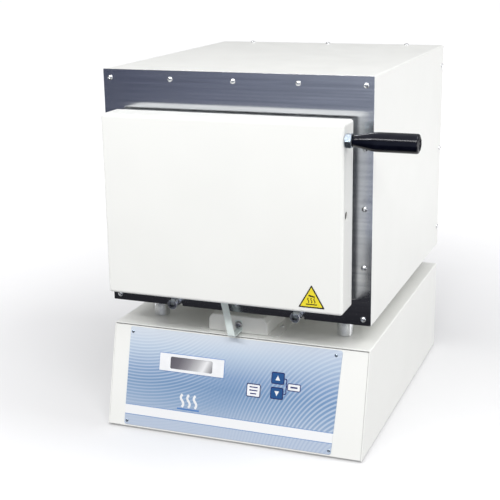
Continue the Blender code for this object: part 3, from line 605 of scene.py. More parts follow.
def bake(obj):
    """Applies the object's modifiers and removes its cutters."""
    bpy.context.view_layer.update()
    graph = bpy.context.evaluated_depsgraph_get()
    mesh = bpy.data.meshes.new_from_object(obj.evaluated_get(graph))
    cutters = [m.object for m in obj.modifiers if m.type == "BOOLEAN"]
    obj.modifiers.clear()
    obj.data = mesh
    for cutter in cutters:
        bpy.data.objects.remove(cutter)
    return obj


def smooth(obj, angle=35.0):
    obj.data.shade_smooth()
    obj.data.set_sharp_from_angle(angle=math.radians(angle))
    weighted = obj.modifiers.new("normals", "WEIGHTED_NORMAL")
    weighted.keep_sharp = True
    return obj


def bevel(obj, width, segments=3, angle=30.0):
    rounding = obj.modifiers.new("edges", "BEVEL")
    rounding.width = width
    rounding.segments = segments
    rounding.limit_method = "ANGLE"
    rounding.angle_limit = math.radians(angle)
    rounding.use_clamp_overlap = True
    return obj


def thicken(obj, thickness):
    skin = obj.modifiers.new("sheet", "SOLIDIFY")
    skin.thickness = thickness
    skin.offset = -1
    skin.use_even_offset = True
    return obj


def carve(obj, mesh, operation="DIFFERENCE", matrix=None):
    change = obj.modifiers.new("cut", "BOOLEAN")
    change.operation = operation
    change.object = helper(mesh, matrix)
    return obj


def sheet_piece(name, low, high, open_sides, rounding, body, mat, slot, node, shift=0.0, cuts=(),
                edge=0.0004):
    """A folded sheet-metal skin with round folds, cut edges eased, in place of its CAD node."""
    made = piece(name, folded(low, high, open_sides, shift), mat, body, slot, (node,))
    bevel(made, rounding, 6)
    thicken(made, SHEET)
    for mesh in cuts:
        carve(made, mesh)
    bake(made)
    bevel(made, edge, 2, 50)
    bake(made)
    return smooth(made)


# ---------------------------------------------------------------- fasteners
def button_head(radius, height, socket, shank, sides=24):
    """A button-head screw with a hexagon socket, its underside at z = 0.

    The shank is (radius, length).
    """
    turns = [2 * math.pi * i / sides for i in range(sides)]
    form = bmesh.new()

    def circle(reach, z):
        return [form.verts.new((reach * math.cos(t), reach * math.sin(t), z)) for t in turns]

    def hexagon(across, z):
        reaches = [across / 2 / math.cos((t + math.pi / 6) % (math.pi / 3) - math.pi / 6) for t in turns]
        return [form.verts.new((r * math.cos(t), r * math.sin(t), z)) for r, t in zip(reaches, turns)]

    rings = [circle(radius, 0.0), circle(radius, height * 0.25)]
    rings += [circle(radius * math.cos(t), height * (0.25 + 0.75 * math.sin(t)))
              for t in (math.radians(a) for a in (18, 36, 52, 64))]
    rings += [hexagon(socket * 1.12, height), hexagon(socket, height * 0.93), hexagon(socket, height * 0.30)]
    bridge(form, rings)
    form.faces.new(rings[-1])
    under, tip = circle(shank[0], 0), circle(shank[0], -shank[1])
    bridge(form, [tip, under, rings[0]])
    form.faces.new(reversed(tip))
    mesh = sealed(form)
    mesh.shade_smooth()
    mesh.set_sharp_from_angle(angle=math.radians(38))
    return mesh


def facing(place, outward, spin=0.0):
    """A matrix that stands a screw on a place, its head pointing outward."""
    turn = Vector(outward).to_track_quat("Z", "Y").to_matrix().to_4x4()
    return Matrix.Translation(place) @ turn @ Matrix.Rotation(spin, 4, "Z")


def screws(stem, mesh, places, body, mat, slot):
    """Separate screws at (place, outward direction), each turned a different way."""
    for number, (place, outward) in enumerate(places, 1):
        piece(f"{stem}_{number:02d}", mesh.copy(), mat, body, slot, (), facing(place, outward, 0.7 * number))


def make_screws():
    plate_screw = button_head(0.00365, 0.0024, 0.0025, (0.0019, 0.006))
    top = HOUSING_TOP - 0.0118
    edge = HALF - 0.0105
    front = Vector((0, -1, 0))
    places = [(x, top) for x in (-edge, -0.090, 0, 0.090, edge)]
    places += [(x, HOUSING_Z + z) for x in (-edge, edge) for z in (0.0088, 0.0798, 0.1588, 0.2378)]
    places += [(0, HOUSING_Z + 0.0108)]
    screws("plate_screw", plate_screw, [(at(x, 0, z), front) for x, z in places], ROOT, SCREW_STEEL,
           "polished_steel")
    rear = BACK - 0.010
    sides = [(at(x, rear, HOUSING_TOP), Vector((0, 0, 1))) for x in (-0.132, 0, 0.132)]
    for side in (-1, 1):
        for z in (0.0328, 0.1648, 0.2978):
            sides.append((at(side * HALF, rear, HOUSING_Z + z), Vector((side, 0, 0))))
    screws("housing_screw", plate_screw, sides, ROOT, SCREW_STEEL, "polished_steel")
    label_screw = button_head(0.0023, 0.0009, 0.0014, (0.0012, 0.005), 18)
    outward = PANEL.to_3x3() @ Vector((0, 0, 1))
    corners = [(PANEL @ Vector((x, y, 0.0008)), outward)
               for x in (-0.160, 0.144) for y in (-0.011, -0.1406)]
    screws("label_screw", label_screw, corners, ROOT, NUT_ZINC, "nut_zinc")
    arm_screw = button_head(0.0033, 0.0020, 0.0022, (0.0017, 0.007))
    arms = []
    hinge_z = frame["joints"][0]["pos_m"][2]
    for side in ("left", "right"):
        arm_x = box_middle(f"hinge_arm_{side}").x
        for dx in (-0.010, 0.010):
            arms.append((Vector((arm_x + dx, PAN[1].y + 0.0033, hinge_z + 0.032)), (0, 1, 0)))
    screws("arm_screw", arm_screw, arms, DOOR, SCREW_STEEL, "zinc_plate")
    for side in ("left", "right"):
        foot = box_middle(f"guard_screw_{side}")
        foot.z = BASE_TOP + 0.0015
        piece(f"guard_screw_head_{side}", button_head(0.003, 0.0018, 0.002, (0.0014, 0.006)),
              SCREW_STEEL, ROOT, "polished_steel", (f"guard_screw_{side}",), facing(foot, (0, 0, 1), 0.4))


# ---------------------------------------------------------------- sheet metal
def make_sheets():
    half, low, high = HALF, HOUSING_Z, HOUSING_TOP
    tunnel = ("front", "rear", "bottom")
    sheet_piece("housing_skin", at(-half, WRAP[0].y - FY, low), at(half, BACK, high), tunnel, 0.003,
                ROOT, WHITE, "white_enamel", "housing_wrap")
    sheet_piece("base_skin", at(-half, 0, COVER[0].z), at(half, BACK, BASE_TOP), tunnel, 0.0018,
                ROOT, WHITE_BASE, "white_enamel", "base_cover", SLOPE_RUN)
    rear_low, rear_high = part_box("rear_panel")
    slots = cubes([(at(x - 0.030, BACK - THROUGH, low + z), at(x + 0.030, BACK + THROUGH, low + z + 0.004))
                   for x in (-0.100, 0.100) for z in (0.040 + 0.012 * i for i in range(5))])
    probe = box_middle("thermocouple")
    hole = rods([((probe.x, rear_high.y - THROUGH, probe.z), (probe.x, rear_high.y + THROUGH, probe.z))],
                0.0034, 24)
    sheet_piece("rear_skin", rear_low, rear_high, ("front",), 0.003, ROOT, WHITE, "white_enamel",
                "rear_panel", cuts=(slots, hole))
    make_door_skin()
    make_front_plate()
    make_guard()


def make_door_skin():
    low, high = PAN
    side_y, side_z = FY - 0.0426, HOUSING_Z + 0.1594
    nut = box_middle("handle_nut")
    holes = joined([rods([((high.x - THROUGH, side_y, side_z), (high.x + THROUGH, side_y, side_z))], 0.0052, 40),
                    rods([((high.x - THROUGH, nut.y, nut.z), (high.x + THROUGH, nut.y, nut.z))], 0.0043, 24)])
    sheet_piece("door_skin", low, high, ("rear",), 0.004, DOOR, WHITE, "white_enamel", "door_pan",
                cuts=(holes,), edge=0.0003)


def make_front_plate():
    """The stainless plate, with eased edges, the mouth, and notches for the hinge bars."""
    low, high = PLATE
    made = piece("front_plate_skin", cubes([(low, high)]), STEEL, ROOT, "stainless", ("front_plate",))
    bevel(made, 0.0006, 2)
    bake(made)
    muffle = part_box("muffle")
    wall = 0.008
    carve(made, cubes([((muffle[0].x + wall, FY - THROUGH, muffle[0].z + wall),
                        (muffle[1].x - wall, FY + THROUGH, muffle[1].z - wall))]))
    for side in ("left", "right"):
        bar_low, bar_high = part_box(f"hinge_bar_{side}")
        x, _, z = box_middle(f"hinge_bar_{side}")
        radius = (bar_high.x - bar_low.x) / 2 + 0.0005
        carve(made, rods([((x, FY - THROUGH, z), (x, FY + THROUGH, z))], radius, 48))
        carve(made, cubes([((x - radius, FY - THROUGH, low.z - THROUGH), (x + radius, FY + THROUGH, z))]))
    bake(made)
    smooth(made)


def make_guard():
    """A folded hat-section cover for the wires that run up into the chamber."""
    low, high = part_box("wiring_guard")
    flange, web, crown, chamfer = 0.0176, 0.0180, 0.0235, 0.0054
    left, right = low.x - CX, high.x - CX
    wall_left, wall_right = left + flange, right - flange
    outline = ((left, 0), (wall_left, 0), (wall_left, web), (wall_left + chamfer, crown),
               (wall_right - chamfer, crown), (wall_right, web), (wall_right, 0), (right, 0))
    form = bmesh.new()
    rows = [[form.verts.new((x + CX, y, low.z + z)) for x, z in outline] for y in (low.y, high.y)]
    for i in range(len(outline) - 1):
        form.faces.new((rows[0][i], rows[0][i + 1], rows[1][i + 1], rows[1][i]))
    form.faces.new(rows[0][1:7])
    bmesh.ops.recalc_face_normals(form, faces=form.faces)
    form.normal_update()
    top = max(form.faces, key=lambda f: f.calc_center_median().z)
    if top.normal.z < 0:
        bmesh.ops.reverse_faces(form, faces=form.faces)
    made = piece("wiring_guard_skin", finished(form), WHITE_BASE, ROOT, "white_enamel", ("wiring_guard",))
    bevel(made, 0.0008, 3, 20)
    skin = thicken(made, 0.0012).modifiers["sheet"]
    skin.offset = 1
    bake(made)
    smooth(made)


# ---------------------------------------------------------------- round and turned parts
def corner_nodes(stem):
    """The four CAD nodes of a stem, each with its height, radius and the place of its underside."""
    for end in ("front", "rear"):
        for side in ("left", "right"):
            node = f"{stem}_{end}_{side}"
            low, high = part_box(node)
            foot = box_middle(node)
            foot.z = low.z
            yield node, high.z - low.z, (high.x - low.x) / 2, Matrix.Translation(foot)


def make_posts():
    ease = 0.0007
    for node, height, radius, stand in corner_nodes("post"):
        profile = [(0, 0), (radius - ease, 0)]
        profile += rounded_corner((radius - ease, ease), ease, -90, 0, 4)
        profile += rounded_corner((radius - ease, height - ease), ease, 0, 90, 4)
        profile += [(0, height)]
        smooth(piece(f"{node}_turned", lathe(profile, 72), POLISHED, ROOT, "polished_steel", (node,), stand))


def make_feet():
    for node, height, _, stand in corner_nodes("foot"):
        profile = [(0, 0.0004), (0.006, 0.0004), (0.0066, 0)]
        profile += rounded_corner((0.0095, 0.0007), 0.0007, -90, 0, 3)
        profile += [(0.0118, height - 0.0004), (0.0114, height), (0, height)]
        smooth(piece(f"{node}_moulded", lathe(profile, 48), RUBBER, ROOT, "rubber", (node,), stand))


def make_hinge():
    """The forked bars and their cross pins."""
    hinge = frame["joints"][0]["pos_m"]
    for side in ("left", "right"):
        low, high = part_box(f"hinge_bar_{side}")
        x, _, z = box_middle(f"hinge_bar_{side}")
        rod = rods([((x, low.y, z), (x, high.y, z))], (high.x - low.x) / 2, 72)
        bar = piece(f"hinge_bar_{side}_turned", rod, POLISHED, ROOT, "polished_steel",
                    (f"hinge_bar_{side}",))
        bevel(bar, 0.0009, 3)
        slot, slot_floor, slot_back = 0.00375, hinge[2] - 0.0058, hinge[1] + 0.0061
        carve(bar, cubes([((x - slot, low.y - THROUGH, slot_floor),
                           (x + slot, slot_back, high.z + THROUGH))]))
        carve(bar, rods([((x - 0.02, hinge[1], hinge[2]), (x + 0.02, hinge[1], hinge[2]))], 0.0028, 32))
        bake(bar)
        smooth(bar)
        pin_low, pin_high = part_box(f"hinge_pin_{side}")
        pin = piece(f"hinge_pin_{side}_turned",
                    rods([((pin_low.x, hinge[1], hinge[2]), (pin_high.x, hinge[1], hinge[2]))], 0.0025, 40),
                    SCREW_STEEL, ROOT, "zinc_plate", (f"hinge_pin_{side}",))
        bevel(pin, 0.0004, 2)
        smooth(bake(pin))


def make_handle():
    """Hexagon standoff with a washer face, and the tapered grip."""
    low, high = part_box("handle_nut")
    _, y, z = box_middle("handle_nut")
    length = high.x - low.x
    corner = (high.z - low.z) / 2
    flat = corner * math.cos(math.pi / 6)
    along = Matrix.Translation((low.x, y, z)) @ Matrix.Rotation(math.pi / 2, 4, "Y")
    form = bmesh.new()
    bmesh.ops.create_cone(form, cap_ends=True, segments=6, radius1=corner, radius2=corner, depth=length,
                          matrix=Matrix.Translation((0, 0, length / 2)))
    nut = piece("handle_nut_forged", finished(form), NUT_ZINC, DOOR, "nut_zinc", ("handle_nut",), along)
    chamfer = [(0, -0.001), (flat * 0.97, -0.001), (flat * 0.97, 0), (corner, 0.0011),
               (corner, length - 0.0011), (flat * 0.96, length), (flat * 0.96, length + 0.001),
               (0, length + 0.001)]
    carve(nut, lathe(chamfer, 48), "INTERSECT", along)
    bake(nut)
    bevel(nut, 0.00018, 2, 25)
    bake(nut)
    smooth(nut)
    washer = [(0.0046, length - 0.0013), (flat * 0.985, length - 0.0013), (flat * 0.985, length - 0.0002),
              (flat * 0.96, length), (0.0046, length), (0.0046, length - 0.0013)]
    ring = piece("handle_washer", lathe(washer, 48), POLISHED, DOOR, "nut_zinc", (), along)
    smooth(ring)
    grip_low, grip_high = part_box("handle_grip")
    radius = (grip_high.z - grip_low.z) / 2
    long = grip_high.x - grip_low.x
    taper = 0.0265
    root, lip = 0.0067, 0.0006
    profile = [(0.0043, 0), (0.0062, 0), (root, lip)]
    profile += [(root + (radius - 0.0002 - root) * (i / 8) ** 0.97, lip + (taper - lip) * i / 8)
                for i in range(1, 8)]
    profile += [(radius - 0.00040, taper), (radius - 0.00015, taper + 0.003), (radius, taper + 0.008),
                (radius, long - 0.0045)]
    profile += rounded_corner((radius - 0.0032, long - 0.0040), 0.0032, 20, 78, 6)
    profile += [(0.0082, long - 0.0004), (0.0074, long - 0.0012), (0.0066, long - 0.0020),
                (0, long - 0.0022)]
    axis = Matrix.Translation((grip_low.x, y, z)) @ Matrix.Rotation(math.pi / 2, 4, "Y")
    grip = piece("handle_grip_moulded", lathe(profile, 96), BLACK, DOOR, "black_phenolic",
                 ("handle_grip",), axis)
    smooth(grip, 40)


def make_probe():
    """The thermocouple: a round head with a cover, a gland and its sheath."""
    low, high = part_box("thermocouple")
    x, _, z = box_middle("thermocouple")
    head = high.y - (FY + BACK + GAP)
    long = high.y - low.y
    sheath = 0.003
    base = long - head
    profile = [(0, 0), (sheath * 0.6, 0), (sheath, 0.003), (sheath, base), (0.0140, base),
               (0.0155, base + 0.0010), (0.0155, base + 0.006), (0.0135, base + 0.0068),
               (0.0135, base + 0.0085), (0.0160, base + 0.0093), (0.0160, long - 0.003)]
    profile += rounded_corner((0.0135, long - 0.0025), 0.0025, 0, 90, 5)
    profile += [(0.0050, long), (0.0045, long - 0.0010), (0, long - 0.0010)]
    axis = Matrix.Translation((x, low.y, z)) @ Matrix.Rotation(-math.pi / 2, 4, "X")
    smooth(piece("thermocouple_turned", lathe(profile, 56), LINER_STEEL, ROOT, "stainless",
                 ("thermocouple",), axis))


def make_earth():
    """The contact strip, bent from one flat bar, and the bolt through its lug."""
    low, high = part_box("earth_strip")
    bolt_x, _, bolt_z = box_middle("earth_bolt")
    thick, half = 0.0010, 0.0052
    bend = 0.0022
    lug_y, front_y = high.y - thick / 2, low.y + thick / 2
    foot_z = low.z + thick / 2
    top_x = low.x + half + 0.0002
    lean = (bolt_x - top_x) / (high.z - foot_z)
    path = [Vector((bolt_x, lug_y, bolt_z + 0.0065))]
    path += [Vector((bolt_x, lug_y + bend * (math.sin(t) - 1), foot_z + bend * (1 - math.cos(t))))
             for t in (math.radians(a) for a in (90, 70, 50, 30, 10, 0))]
    for t in (math.radians(a) for a in (0, 15, 30, 45, 60, 75, 90)):
        rise_here = bend * (1 - math.cos(t))
        path.append(Vector((bolt_x - lean * rise_here, front_y + bend * (1 - math.sin(t)),
                            foot_z + rise_here)))
    steps = 12
    for i in range(1, steps + 1):
        z = foot_z + bend + (high.z - foot_z - bend) * i / steps
        bow = 0.0006 * math.sin(math.pi * i / steps)
        path.append(Vector((bolt_x - lean * (z - foot_z), front_y + bow, z)))
    form = bmesh.new()
    across = Vector((half, 0, 0))
    rows = []
    for i, point in enumerate(path):
        run = (path[min(i + 1, len(path) - 1)] - path[max(i - 1, 0)]).normalized()
        normal = Vector((0, -run.z, run.y)).normalized() * thick / 2
        rows.append([form.verts.new(point + s * across + n * normal)
                     for s, n in ((1, 1), (-1, 1), (-1, -1), (1, -1))])
    bridge(form, rows)
    form.faces.new(rows[0])
    form.faces.new(reversed(rows[-1]))
    strip = piece("earth_strip_bent", sealed(form), STRIP_ZINC, ROOT, "zinc_plate", ("earth_strip",))
    bevel(strip, 0.0002, 2, 40)
    smooth(bake(strip), 40)
    height = 0.0048
    head = button_head(0.0054, height, 0.0040, (0.0024, 0.010), 36)
    piece("earth_bolt_head", head, BOLT_STEEL, ROOT, "polished_steel", ("earth_bolt",),
          facing((bolt_x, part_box("earth_bolt")[0].y + height, bolt_z), (0, -1, 0), 0.3))


# ---------------------------------------------------------------- control panel
def on_panel(name, mesh, mat, body, slot, replaces=()):
    return piece(name, mesh, mat, body, slot, replaces, PANEL.copy())


def ink(name, mesh, mat=INK_NAVY, body=ROOT):
    """A printed mark on the panel or on a key."""
    on_panel(name, mesh, mat, body, "bezel_white" if mat == INK_WHITE else "key_blue")


def outline_ribbon(edges, radius, grow, height, width, thick, steps=6):
    """A printed line round a rounded rectangle."""
    return ribbon([(x, y, height) for x, y in rectangle(edges, radius, grow, steps)], width, thick, True)


def wave(x, start, length, reach, steps, height, width):
    """One wavy line of a heat symbol, going up from a start."""
    points = [(x + reach * math.sin(2 * math.pi * i / steps), start + length * i / steps, height)
              for i in range(steps + 1)]
    return ribbon(points, width, PRINT)


def rectangle(edges, radius, grow=0.0, steps=6):
    left, right, start, stop = edges
    return rounded_rectangle(left - grow, right + grow, -stop - grow, -start + grow, radius, steps)


KEYS = {
    "key_enter": ((0.0198, 0.0400, 0.0638, 0.0818), "enter_key"),
    "key_up": ((0.0550, 0.0734, 0.0438, 0.0596), "up_key"),
    "key_down": ((0.0550, 0.0730, 0.0647, 0.0805), "down_key"),
}
BEZEL = (-0.1147, -0.0159, 0.0363, 0.0613)
WINDOW = (-0.0979, -0.0334, 0.0404, 0.0575)
SETUP = (0.0790, 0.0972, 0.0572, 0.0667)
LABEL_FRONT = 0.0008
PRINT = 0.00008


def make_panel():
    depth = LABEL_BOX[3] - LABEL_BOX[2]
    outline = [(x - (LABEL_LEAN * (-y - LABEL_BOX[2]) / depth if x > 0 else 0), y)
               for x, y in rectangle(LABEL_BOX, 0.0030)]
    label = on_panel("control_label_printed", slab(outline, GAP, LABEL_FRONT, 0.0001), LABEL,
                     ROOT, "printed_label", ("control_label",))
    for edges in [WINDOW] + [key[0] for key in KEYS.values()]:
        carve(label, slab(rectangle(edges, 0.0022, 0.0004), -0.01, 0.01), matrix=PANEL)
    bake(label)
    label.data.shade_flat()
    surround = frame_ring(rectangle(BEZEL, 0.0006), rectangle(WINDOW, 0.0022), LABEL_FRONT + GAP / 2, 0.0016)
    bezel = on_panel("display_bezel_frame", surround, BEZEL_WHITE, ROOT, "bezel_white", ("display_bezel",))
    bevel(bezel, 0.00015, 2, 40)
    smooth(bake(bezel))
    ink("display_bezel_rule", outline_ribbon(BEZEL, 0.0006, 0.0004, LABEL_FRONT, 0.0007, PRINT, 3), INK_BLUE)
    glass = on_panel("display_glass", slab(rectangle(WINDOW, 0.0022, 0.0003), -SHEET, LABEL_FRONT), DISPLAY,
                     ROOT, "display_window", ("display_window",))
    smooth(glass)
    for name, (edges, body) in KEYS.items():
        make_key(name, edges, body)
    make_printed_marks()


def make_key(name, edges, body):
    """A key cap with round corners, an eased rim and its stem."""
    front = 0.0013
    cap = slab(rectangle(edges, 0.0020), -SHEET, front, 0.0003)
    x, y = (edges[0] + edges[1]) / 2, -(edges[2] + edges[3]) / 2
    stem = rods([((x, y, -0.0065), (x, y, -SHEET))], 0.0025, 24)
    mat, slot = (BEZEL_WHITE, "bezel_white") if name == "key_enter" else (KEY_BLUE, "key_blue")
    on_panel(f"{name}_cap", joined([cap, stem]), mat, body, slot, (name,))
    rim = outline_ribbon(edges, 0.0020, -0.0004, front - 0.00005, 0.0011, PRINT)
    ink(f"{name}_rim", rim, INK_NAVY, body)
    if name == "key_enter":
        bars = [cubes([((x - w / 2, y + dy - 0.0008, front), (x + w / 2, y + dy + 0.0008, front + PRINT))])
                for dy, w in ((0.0045, 0.0120), (0.0, 0.0120), (-0.0045, 0.0090))]
        ink("key_enter_mark", joined(bars), INK_NAVY, body)
    else:
        way = 1 if name == "key_up" else -1
        triangle = [(x + dx * way, y + dy * way)
                    for dx, dy in ((-0.0034, -0.0030), (0.0034, -0.0030), (0, 0.0038))]
        ink(f"{name}_arrow", slab(triangle, front, front + PRINT), INK_WHITE, body)


def make_printed_marks():
    """The bracket that pairs the two arrow keys, its blank tag, and a plain heat symbol."""
    z = LABEL_FRONT
    tag_y = -(SETUP[2] + SETUP[3]) / 2
    bend_x, bend, line = 0.0770, 0.0015, 0.0014
    for name, key in (("upper", "key_up"), ("lower", "key_down")):
        edges = KEYS[key][0]
        key_y = -(edges[2] + edges[3]) / 2
        sign = 1 if tag_y > key_y else -1
        points = [(edges[1] + 0.0006, key_y, z), (bend_x - bend, key_y, z)]
        points += [(bend_x - bend + bend * math.sin(t), key_y + sign * bend * (1 - math.cos(t)), z)
                   for t in (math.radians(a) for a in (22.5, 45, 67.5, 90))]
        ink(f"bracket_{name}", ribbon(points + [(bend_x, tag_y, z)], line, PRINT))
    ink("bracket_stub", ribbon([(bend_x, tag_y, z), (SETUP[0], tag_y, z)], line, PRINT))
    ink("bracket_tag", slab(rectangle(SETUP, 0.0016), z, z + PRINT), INK_WHITE)
    ink("bracket_tag_rim", outline_ribbon(SETUP, 0.0016, 0.0, z, 0.0012, PRINT * 1.5))
    ink("bracket_tag_mark", cubes([((SETUP[0] + 0.004, tag_y - 0.0011, z + PRINT),
                                    (SETUP[1] - 0.004, tag_y + 0.0011, z + PRINT * 1.6))]))
    waves = [wave(x, -0.1100, 0.0180, 0.0022, 16, z, 0.0034) for x in (-0.0760, -0.0660, -0.0560)]
    ink("heat_symbol", joined(waves), INK_WHITE)
    ink("heat_symbol_base", ribbon([(-0.0830, -0.1128, z), (-0.0490, -0.1128, z)], 0.0022, PRINT), INK_BLUE)


# ---------------------------------------------------------------- warning sign
def make_warning():
    """A generic hot-surface sign: black-edged yellow triangle, with heat waves over a bar."""
    low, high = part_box("warning_plate")
    width, height = high.x - low.x, high.z - low.z
    stand = Matrix.Translation((low.x, high.y, low.z)) @ Matrix.Rotation(math.pi / 2, 4, "X")
    thick = high.y - low.y

    def triangle(inset, radius):
        corners = [Vector((0, 0)), Vector((width, 0)), Vector((width / 2, height))]
        middle = Vector((width / 2, height / 3))
        spots = [c + (middle - c).normalized() * inset * 2 for c in corners]
        points = []
        for i, spot in enumerate(spots):
            back, ahead = (spots[i - 1] - spot).normalized(), (spots[(i + 1) % 3] - spot).normalized()
            for t in (0, 0.25, 0.5, 0.75, 1):
                points.append(spot + (back * (1 - t) ** 2 + ahead * t ** 2) * radius)
        return [tuple(p) for p in points]

    piece("warning_border", slab(triangle(0.0, 0.0012), 0, thick, 0.00005), INK_BLACK, DOOR,
          "warning_yellow", ("warning_plate",), stand)
    piece("warning_field", slab(triangle(0.0016, 0.0007), thick, thick + PRINT), YELLOW, DOOR,
          "warning_yellow", (), stand)
    mid = width / 2
    under, over = thick + PRINT, thick + 2 * PRINT
    marks = [wave(mid + dx, 0.0066, 0.0068, 0.0008, 12, under, 0.0011) for dx in (-0.0042, 0, 0.0042)]
    marks.append(cubes([((mid - 0.0075, 0.0040, under), (mid + 0.0075, 0.0053, over))]))
    marks.append(slab([(mid - 0.0040, 0.0155), (mid + 0.0044, 0.0142), (mid + 0.0048, 0.0158),
                       (mid - 0.0036, 0.0178)], under, over))
    piece("warning_symbol", joined(marks), INK_BLACK, DOOR, "warning_yellow", (), stand)


# ---------------------------------------------------------------- CAD nodes that stay
def dress_cad():
    """Materials for the CAD nodes that are shown as they are."""
    looks = {
        WHITE_BASE: ("base_tray", "base_rear_panel", "front_panel", "floor_pan"),
        LINER_STEEL: ("door_liner",),
        ZINC: ("front_frame", "hinge_arm_left", "hinge_arm_right", "handle_stud"),
        FIBRE: ("insulation_top", "insulation_bottom", "insulation_left", "insulation_right",
                "insulation_back", "door_insulation"),
        CERAMIC: ("muffle",),
        DARK: ("display_module", "power_relay", "power_inlet", "switch_frame", "switch_rocker"),
        heating_wire(): ("heating_element_left", "heating_element_right"),
        circuit_board(): ("control_board",),
        laminations(): ("transformer_core",),
        winding(): ("transformer_coil",),
        brushed("heat_sink_aluminium", (0.62, 0.63, 0.65), 0.35, (1, 40, 1)): ("heat_sink",),
    }
    for mat, names in looks.items():
        for name in names:
            mesh = nodes[name].data
            mesh.materials.clear()
            mesh.materials.append(mat)


# ---------------------------------------------------------------- studio
def stage_plane(name, width, depth, centre, tilt, mat):
    form = bmesh.new()
    bmesh.ops.create_grid(form, x_segments=1, y_segments=1, size=0.5)
    made = bpy.data.objects.new(name, finished(form))
    mat.cycles.emission_sampling = "NONE"
    made.data.materials.append(mat)
    made.data.transform(Matrix.Diagonal((width, depth, 1, 1)))
    made.location = centre
    made.rotation_euler = tilt
    bpy.context.scene.collection.objects.link(made)
    return made


def softbox(name, place, aim, size, power):
    light = bpy.data.lights.new(name, "AREA")
    light.shape = "RECTANGLE"
    light.size, light.size_y = size
    light.energy = power
    made = bpy.data.objects.new(name, light)
    made.location = place
    made.rotation_euler = (Vector(aim) - Vector(place)).to_track_quat("-Z", "Y").to_euler()
    bpy.context.scene.collection.objects.link(made)
    return made


def make_studio():
    """A pale floor that glows towards the distance, two cards, five soft lights and the world."""
    floor_look = Shader("studio_floor", (0.80, 0.80, 0.805), 0.9, Specular_IOR_Level=0.05)
    floor_look.roughness(floor_look.range(floor_look.noise(0.3, 2.0), 0.3, 0.7, 0.85, 0.95))
    place = floor_look.node("TexCoord").outputs["Object"]
    reach = floor_look.node("VectorMath", {"operation": "LENGTH"}, i0=place).outputs["Value"]
    floor_look.set("Emission Color", (1, 1, 1, 1))
    floor_look.feed(floor_look.bsdf, "Emission_Strength", floor_look.range(reach, 0.35, 1.6, 0.0, 0.58))
    floor = stage_plane("floor", 60, 60, (0, 0, 0), (0, 0, 0), floor_look.material)
    floor.visible_diffuse = False
    make_flags()
    middle = at(0, 0.2, 0.3)
    softbox("key_light", middle + Vector((1.7, 0.15, 1.9)), middle, (1.3, 1.3), 16)
    softbox("front_light", middle + Vector((1.0, -2.0, 1.85)), middle, (1.8, 1.0), 32)
    softbox("side_light", middle + Vector((2.4, 0.1, 0.2)), middle, (1.2, 1.2), 14)
    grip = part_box("handle_grip")[0]
    softbox("strip_light", grip + Vector((-0.35, -1.40, 1.20)), grip, (1.6, 0.14), 15)
    softbox("root_light", grip + Vector((-1.25, -1.20, 1.20)), grip, (0.6, 0.12), 6)
    make_world()
    bpy.context.scene.view_settings.view_transform = "Standard"


def make_world():
    """A grey sky, graded by height, lights the furnace. The camera itself sees plain white."""
    world = bpy.data.worlds.new("studio")
    world.use_nodes = True
    nodes_of, link = world.node_tree.nodes, world.node_tree.links.new
    made = {kind: nodes_of.new("ShaderNode" + kind)
            for kind in ("TexCoord", "SeparateXYZ", "Math", "ValToRGB", "LightPath", "Mix")}
    height, sky, seen = made["Math"], made["ValToRGB"], made["Mix"]
    height.operation = "MULTIPLY_ADD"
    for socket in height.inputs[1:]:
        socket.default_value = 0.5
    steps = ((0.0, 0.52), (0.49, 0.52), (0.51, 0.13), (0.70, 0.32), (0.85, 0.66), (1.0, 0.70))
    while len(sky.color_ramp.elements) < len(steps):
        sky.color_ramp.elements.new(1.0)
    for point, (position, grey) in zip(sky.color_ramp.elements, steps):
        point.position = position
        point.color = (grey, grey, grey * 1.02, 1)
    seen.data_type = "RGBA"
    seen.inputs[7].default_value = (1, 1, 1, 1)
    link(made["TexCoord"].outputs["Generated"], made["SeparateXYZ"].inputs["Vector"])
    link(made["SeparateXYZ"].outputs["Z"], height.inputs[0])
    link(height.outputs[0], sky.inputs["Fac"])
    link(made["LightPath"].outputs["Is Camera Ray"], seen.inputs[0])
    link(sky.outputs["Color"], seen.inputs[6])
    link(seen.outputs[2], nodes_of["Background"].inputs["Color"])
    bpy.context.scene.world = world


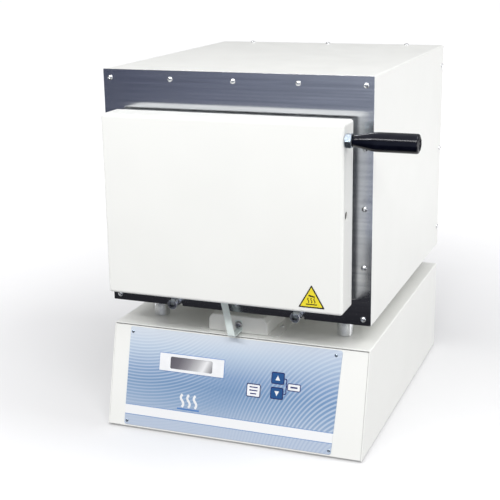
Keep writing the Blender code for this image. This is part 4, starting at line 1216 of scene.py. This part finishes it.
def make_flags():
    """Two graded, glowing cards, seen only in reflections, that tone the steel plate."""
    lying = flag_look("flag_lying", "Y", (-0.52, 0.52), (
        (0.0, (0.16, 0.17, 0.20)), (0.3, (0.06, 0.06, 0.07)), (0.6, (0.025, 0.025, 0.03)),
        (1.0, (0.03, 0.03, 0.035))))
    upright = flag_look("flag_upright", "X", (-0.75, 0.45), (
        (0.0, (0.040, 0.048, 0.080)), (0.40, (0.155, 0.168, 0.24)), (0.75, (0.33, 0.36, 0.45)),
        (1.0, (0.40, 0.43, 0.51))))
    for flag in (stage_plane("flag_low", 3.4, 1.05, at(-0.3, -0.575, 0.004), (0, 0, 0), lying),
                 stage_plane("flag_high", 3.4, 0.70, at(-0.3, -1.10, 0.35), (math.pi / 2, 0, 0), upright)):
        for ray in ("camera", "diffuse", "shadow", "transmission", "volume_scatter"):
            setattr(flag, f"visible_{ray}", False)


def flag_look(name, axis, span, stops):
    """A card that only glows, in tones graded along one axis of its own."""
    look = Shader(name, (0, 0, 0), 1.0, Specular_IOR_Level=0.0, Emission_Strength=1.0)
    look.feed(look.bsdf, "Emission_Color", look.ramp(look.range(look.place()[axis], *span, 0, 1), stops))
    return look.material


CAMERA_TURNS = (20.9636, -15.6226, -0.848)      # yaw, pitch and roll, in degrees
CAMERA_PLACE = (0.5322, -1.3355, 0.6700 + COVER[0].z)
CAMERA_LENS = 78.93                             # mm, on a 36 mm sensor


def make_camera():
    """The camera stands in front, to the right and above, and looks down at the furnace."""
    yaw, pitch, roll = (math.radians(turn) for turn in CAMERA_TURNS)
    view = Vector((-math.sin(yaw) * math.cos(pitch), math.cos(yaw) * math.cos(pitch), math.sin(pitch)))
    right = view.cross(Vector((0, 0, 1))).normalized()
    up = right.cross(view)
    tilted_right = right * math.cos(roll) + up * math.sin(roll)
    tilted_up = up * math.cos(roll) - right * math.sin(roll)
    lens = bpy.data.cameras.new("camera")
    lens.sensor_width = 36
    lens.lens = CAMERA_LENS
    made = bpy.data.objects.new("camera", lens)
    turn = Matrix((tilted_right, tilted_up, -view)).transposed().to_4x4()
    made.matrix_world = Matrix.Translation(at(*CAMERA_PLACE)) @ turn
    bpy.context.scene.collection.objects.link(made)
    bpy.context.scene.camera = made


make_camera()
make_studio()
dress_cad()
make_sheets()
make_screws()
make_posts()
make_feet()
make_hinge()
make_handle()
make_probe()
make_earth()
make_panel()
make_warning()
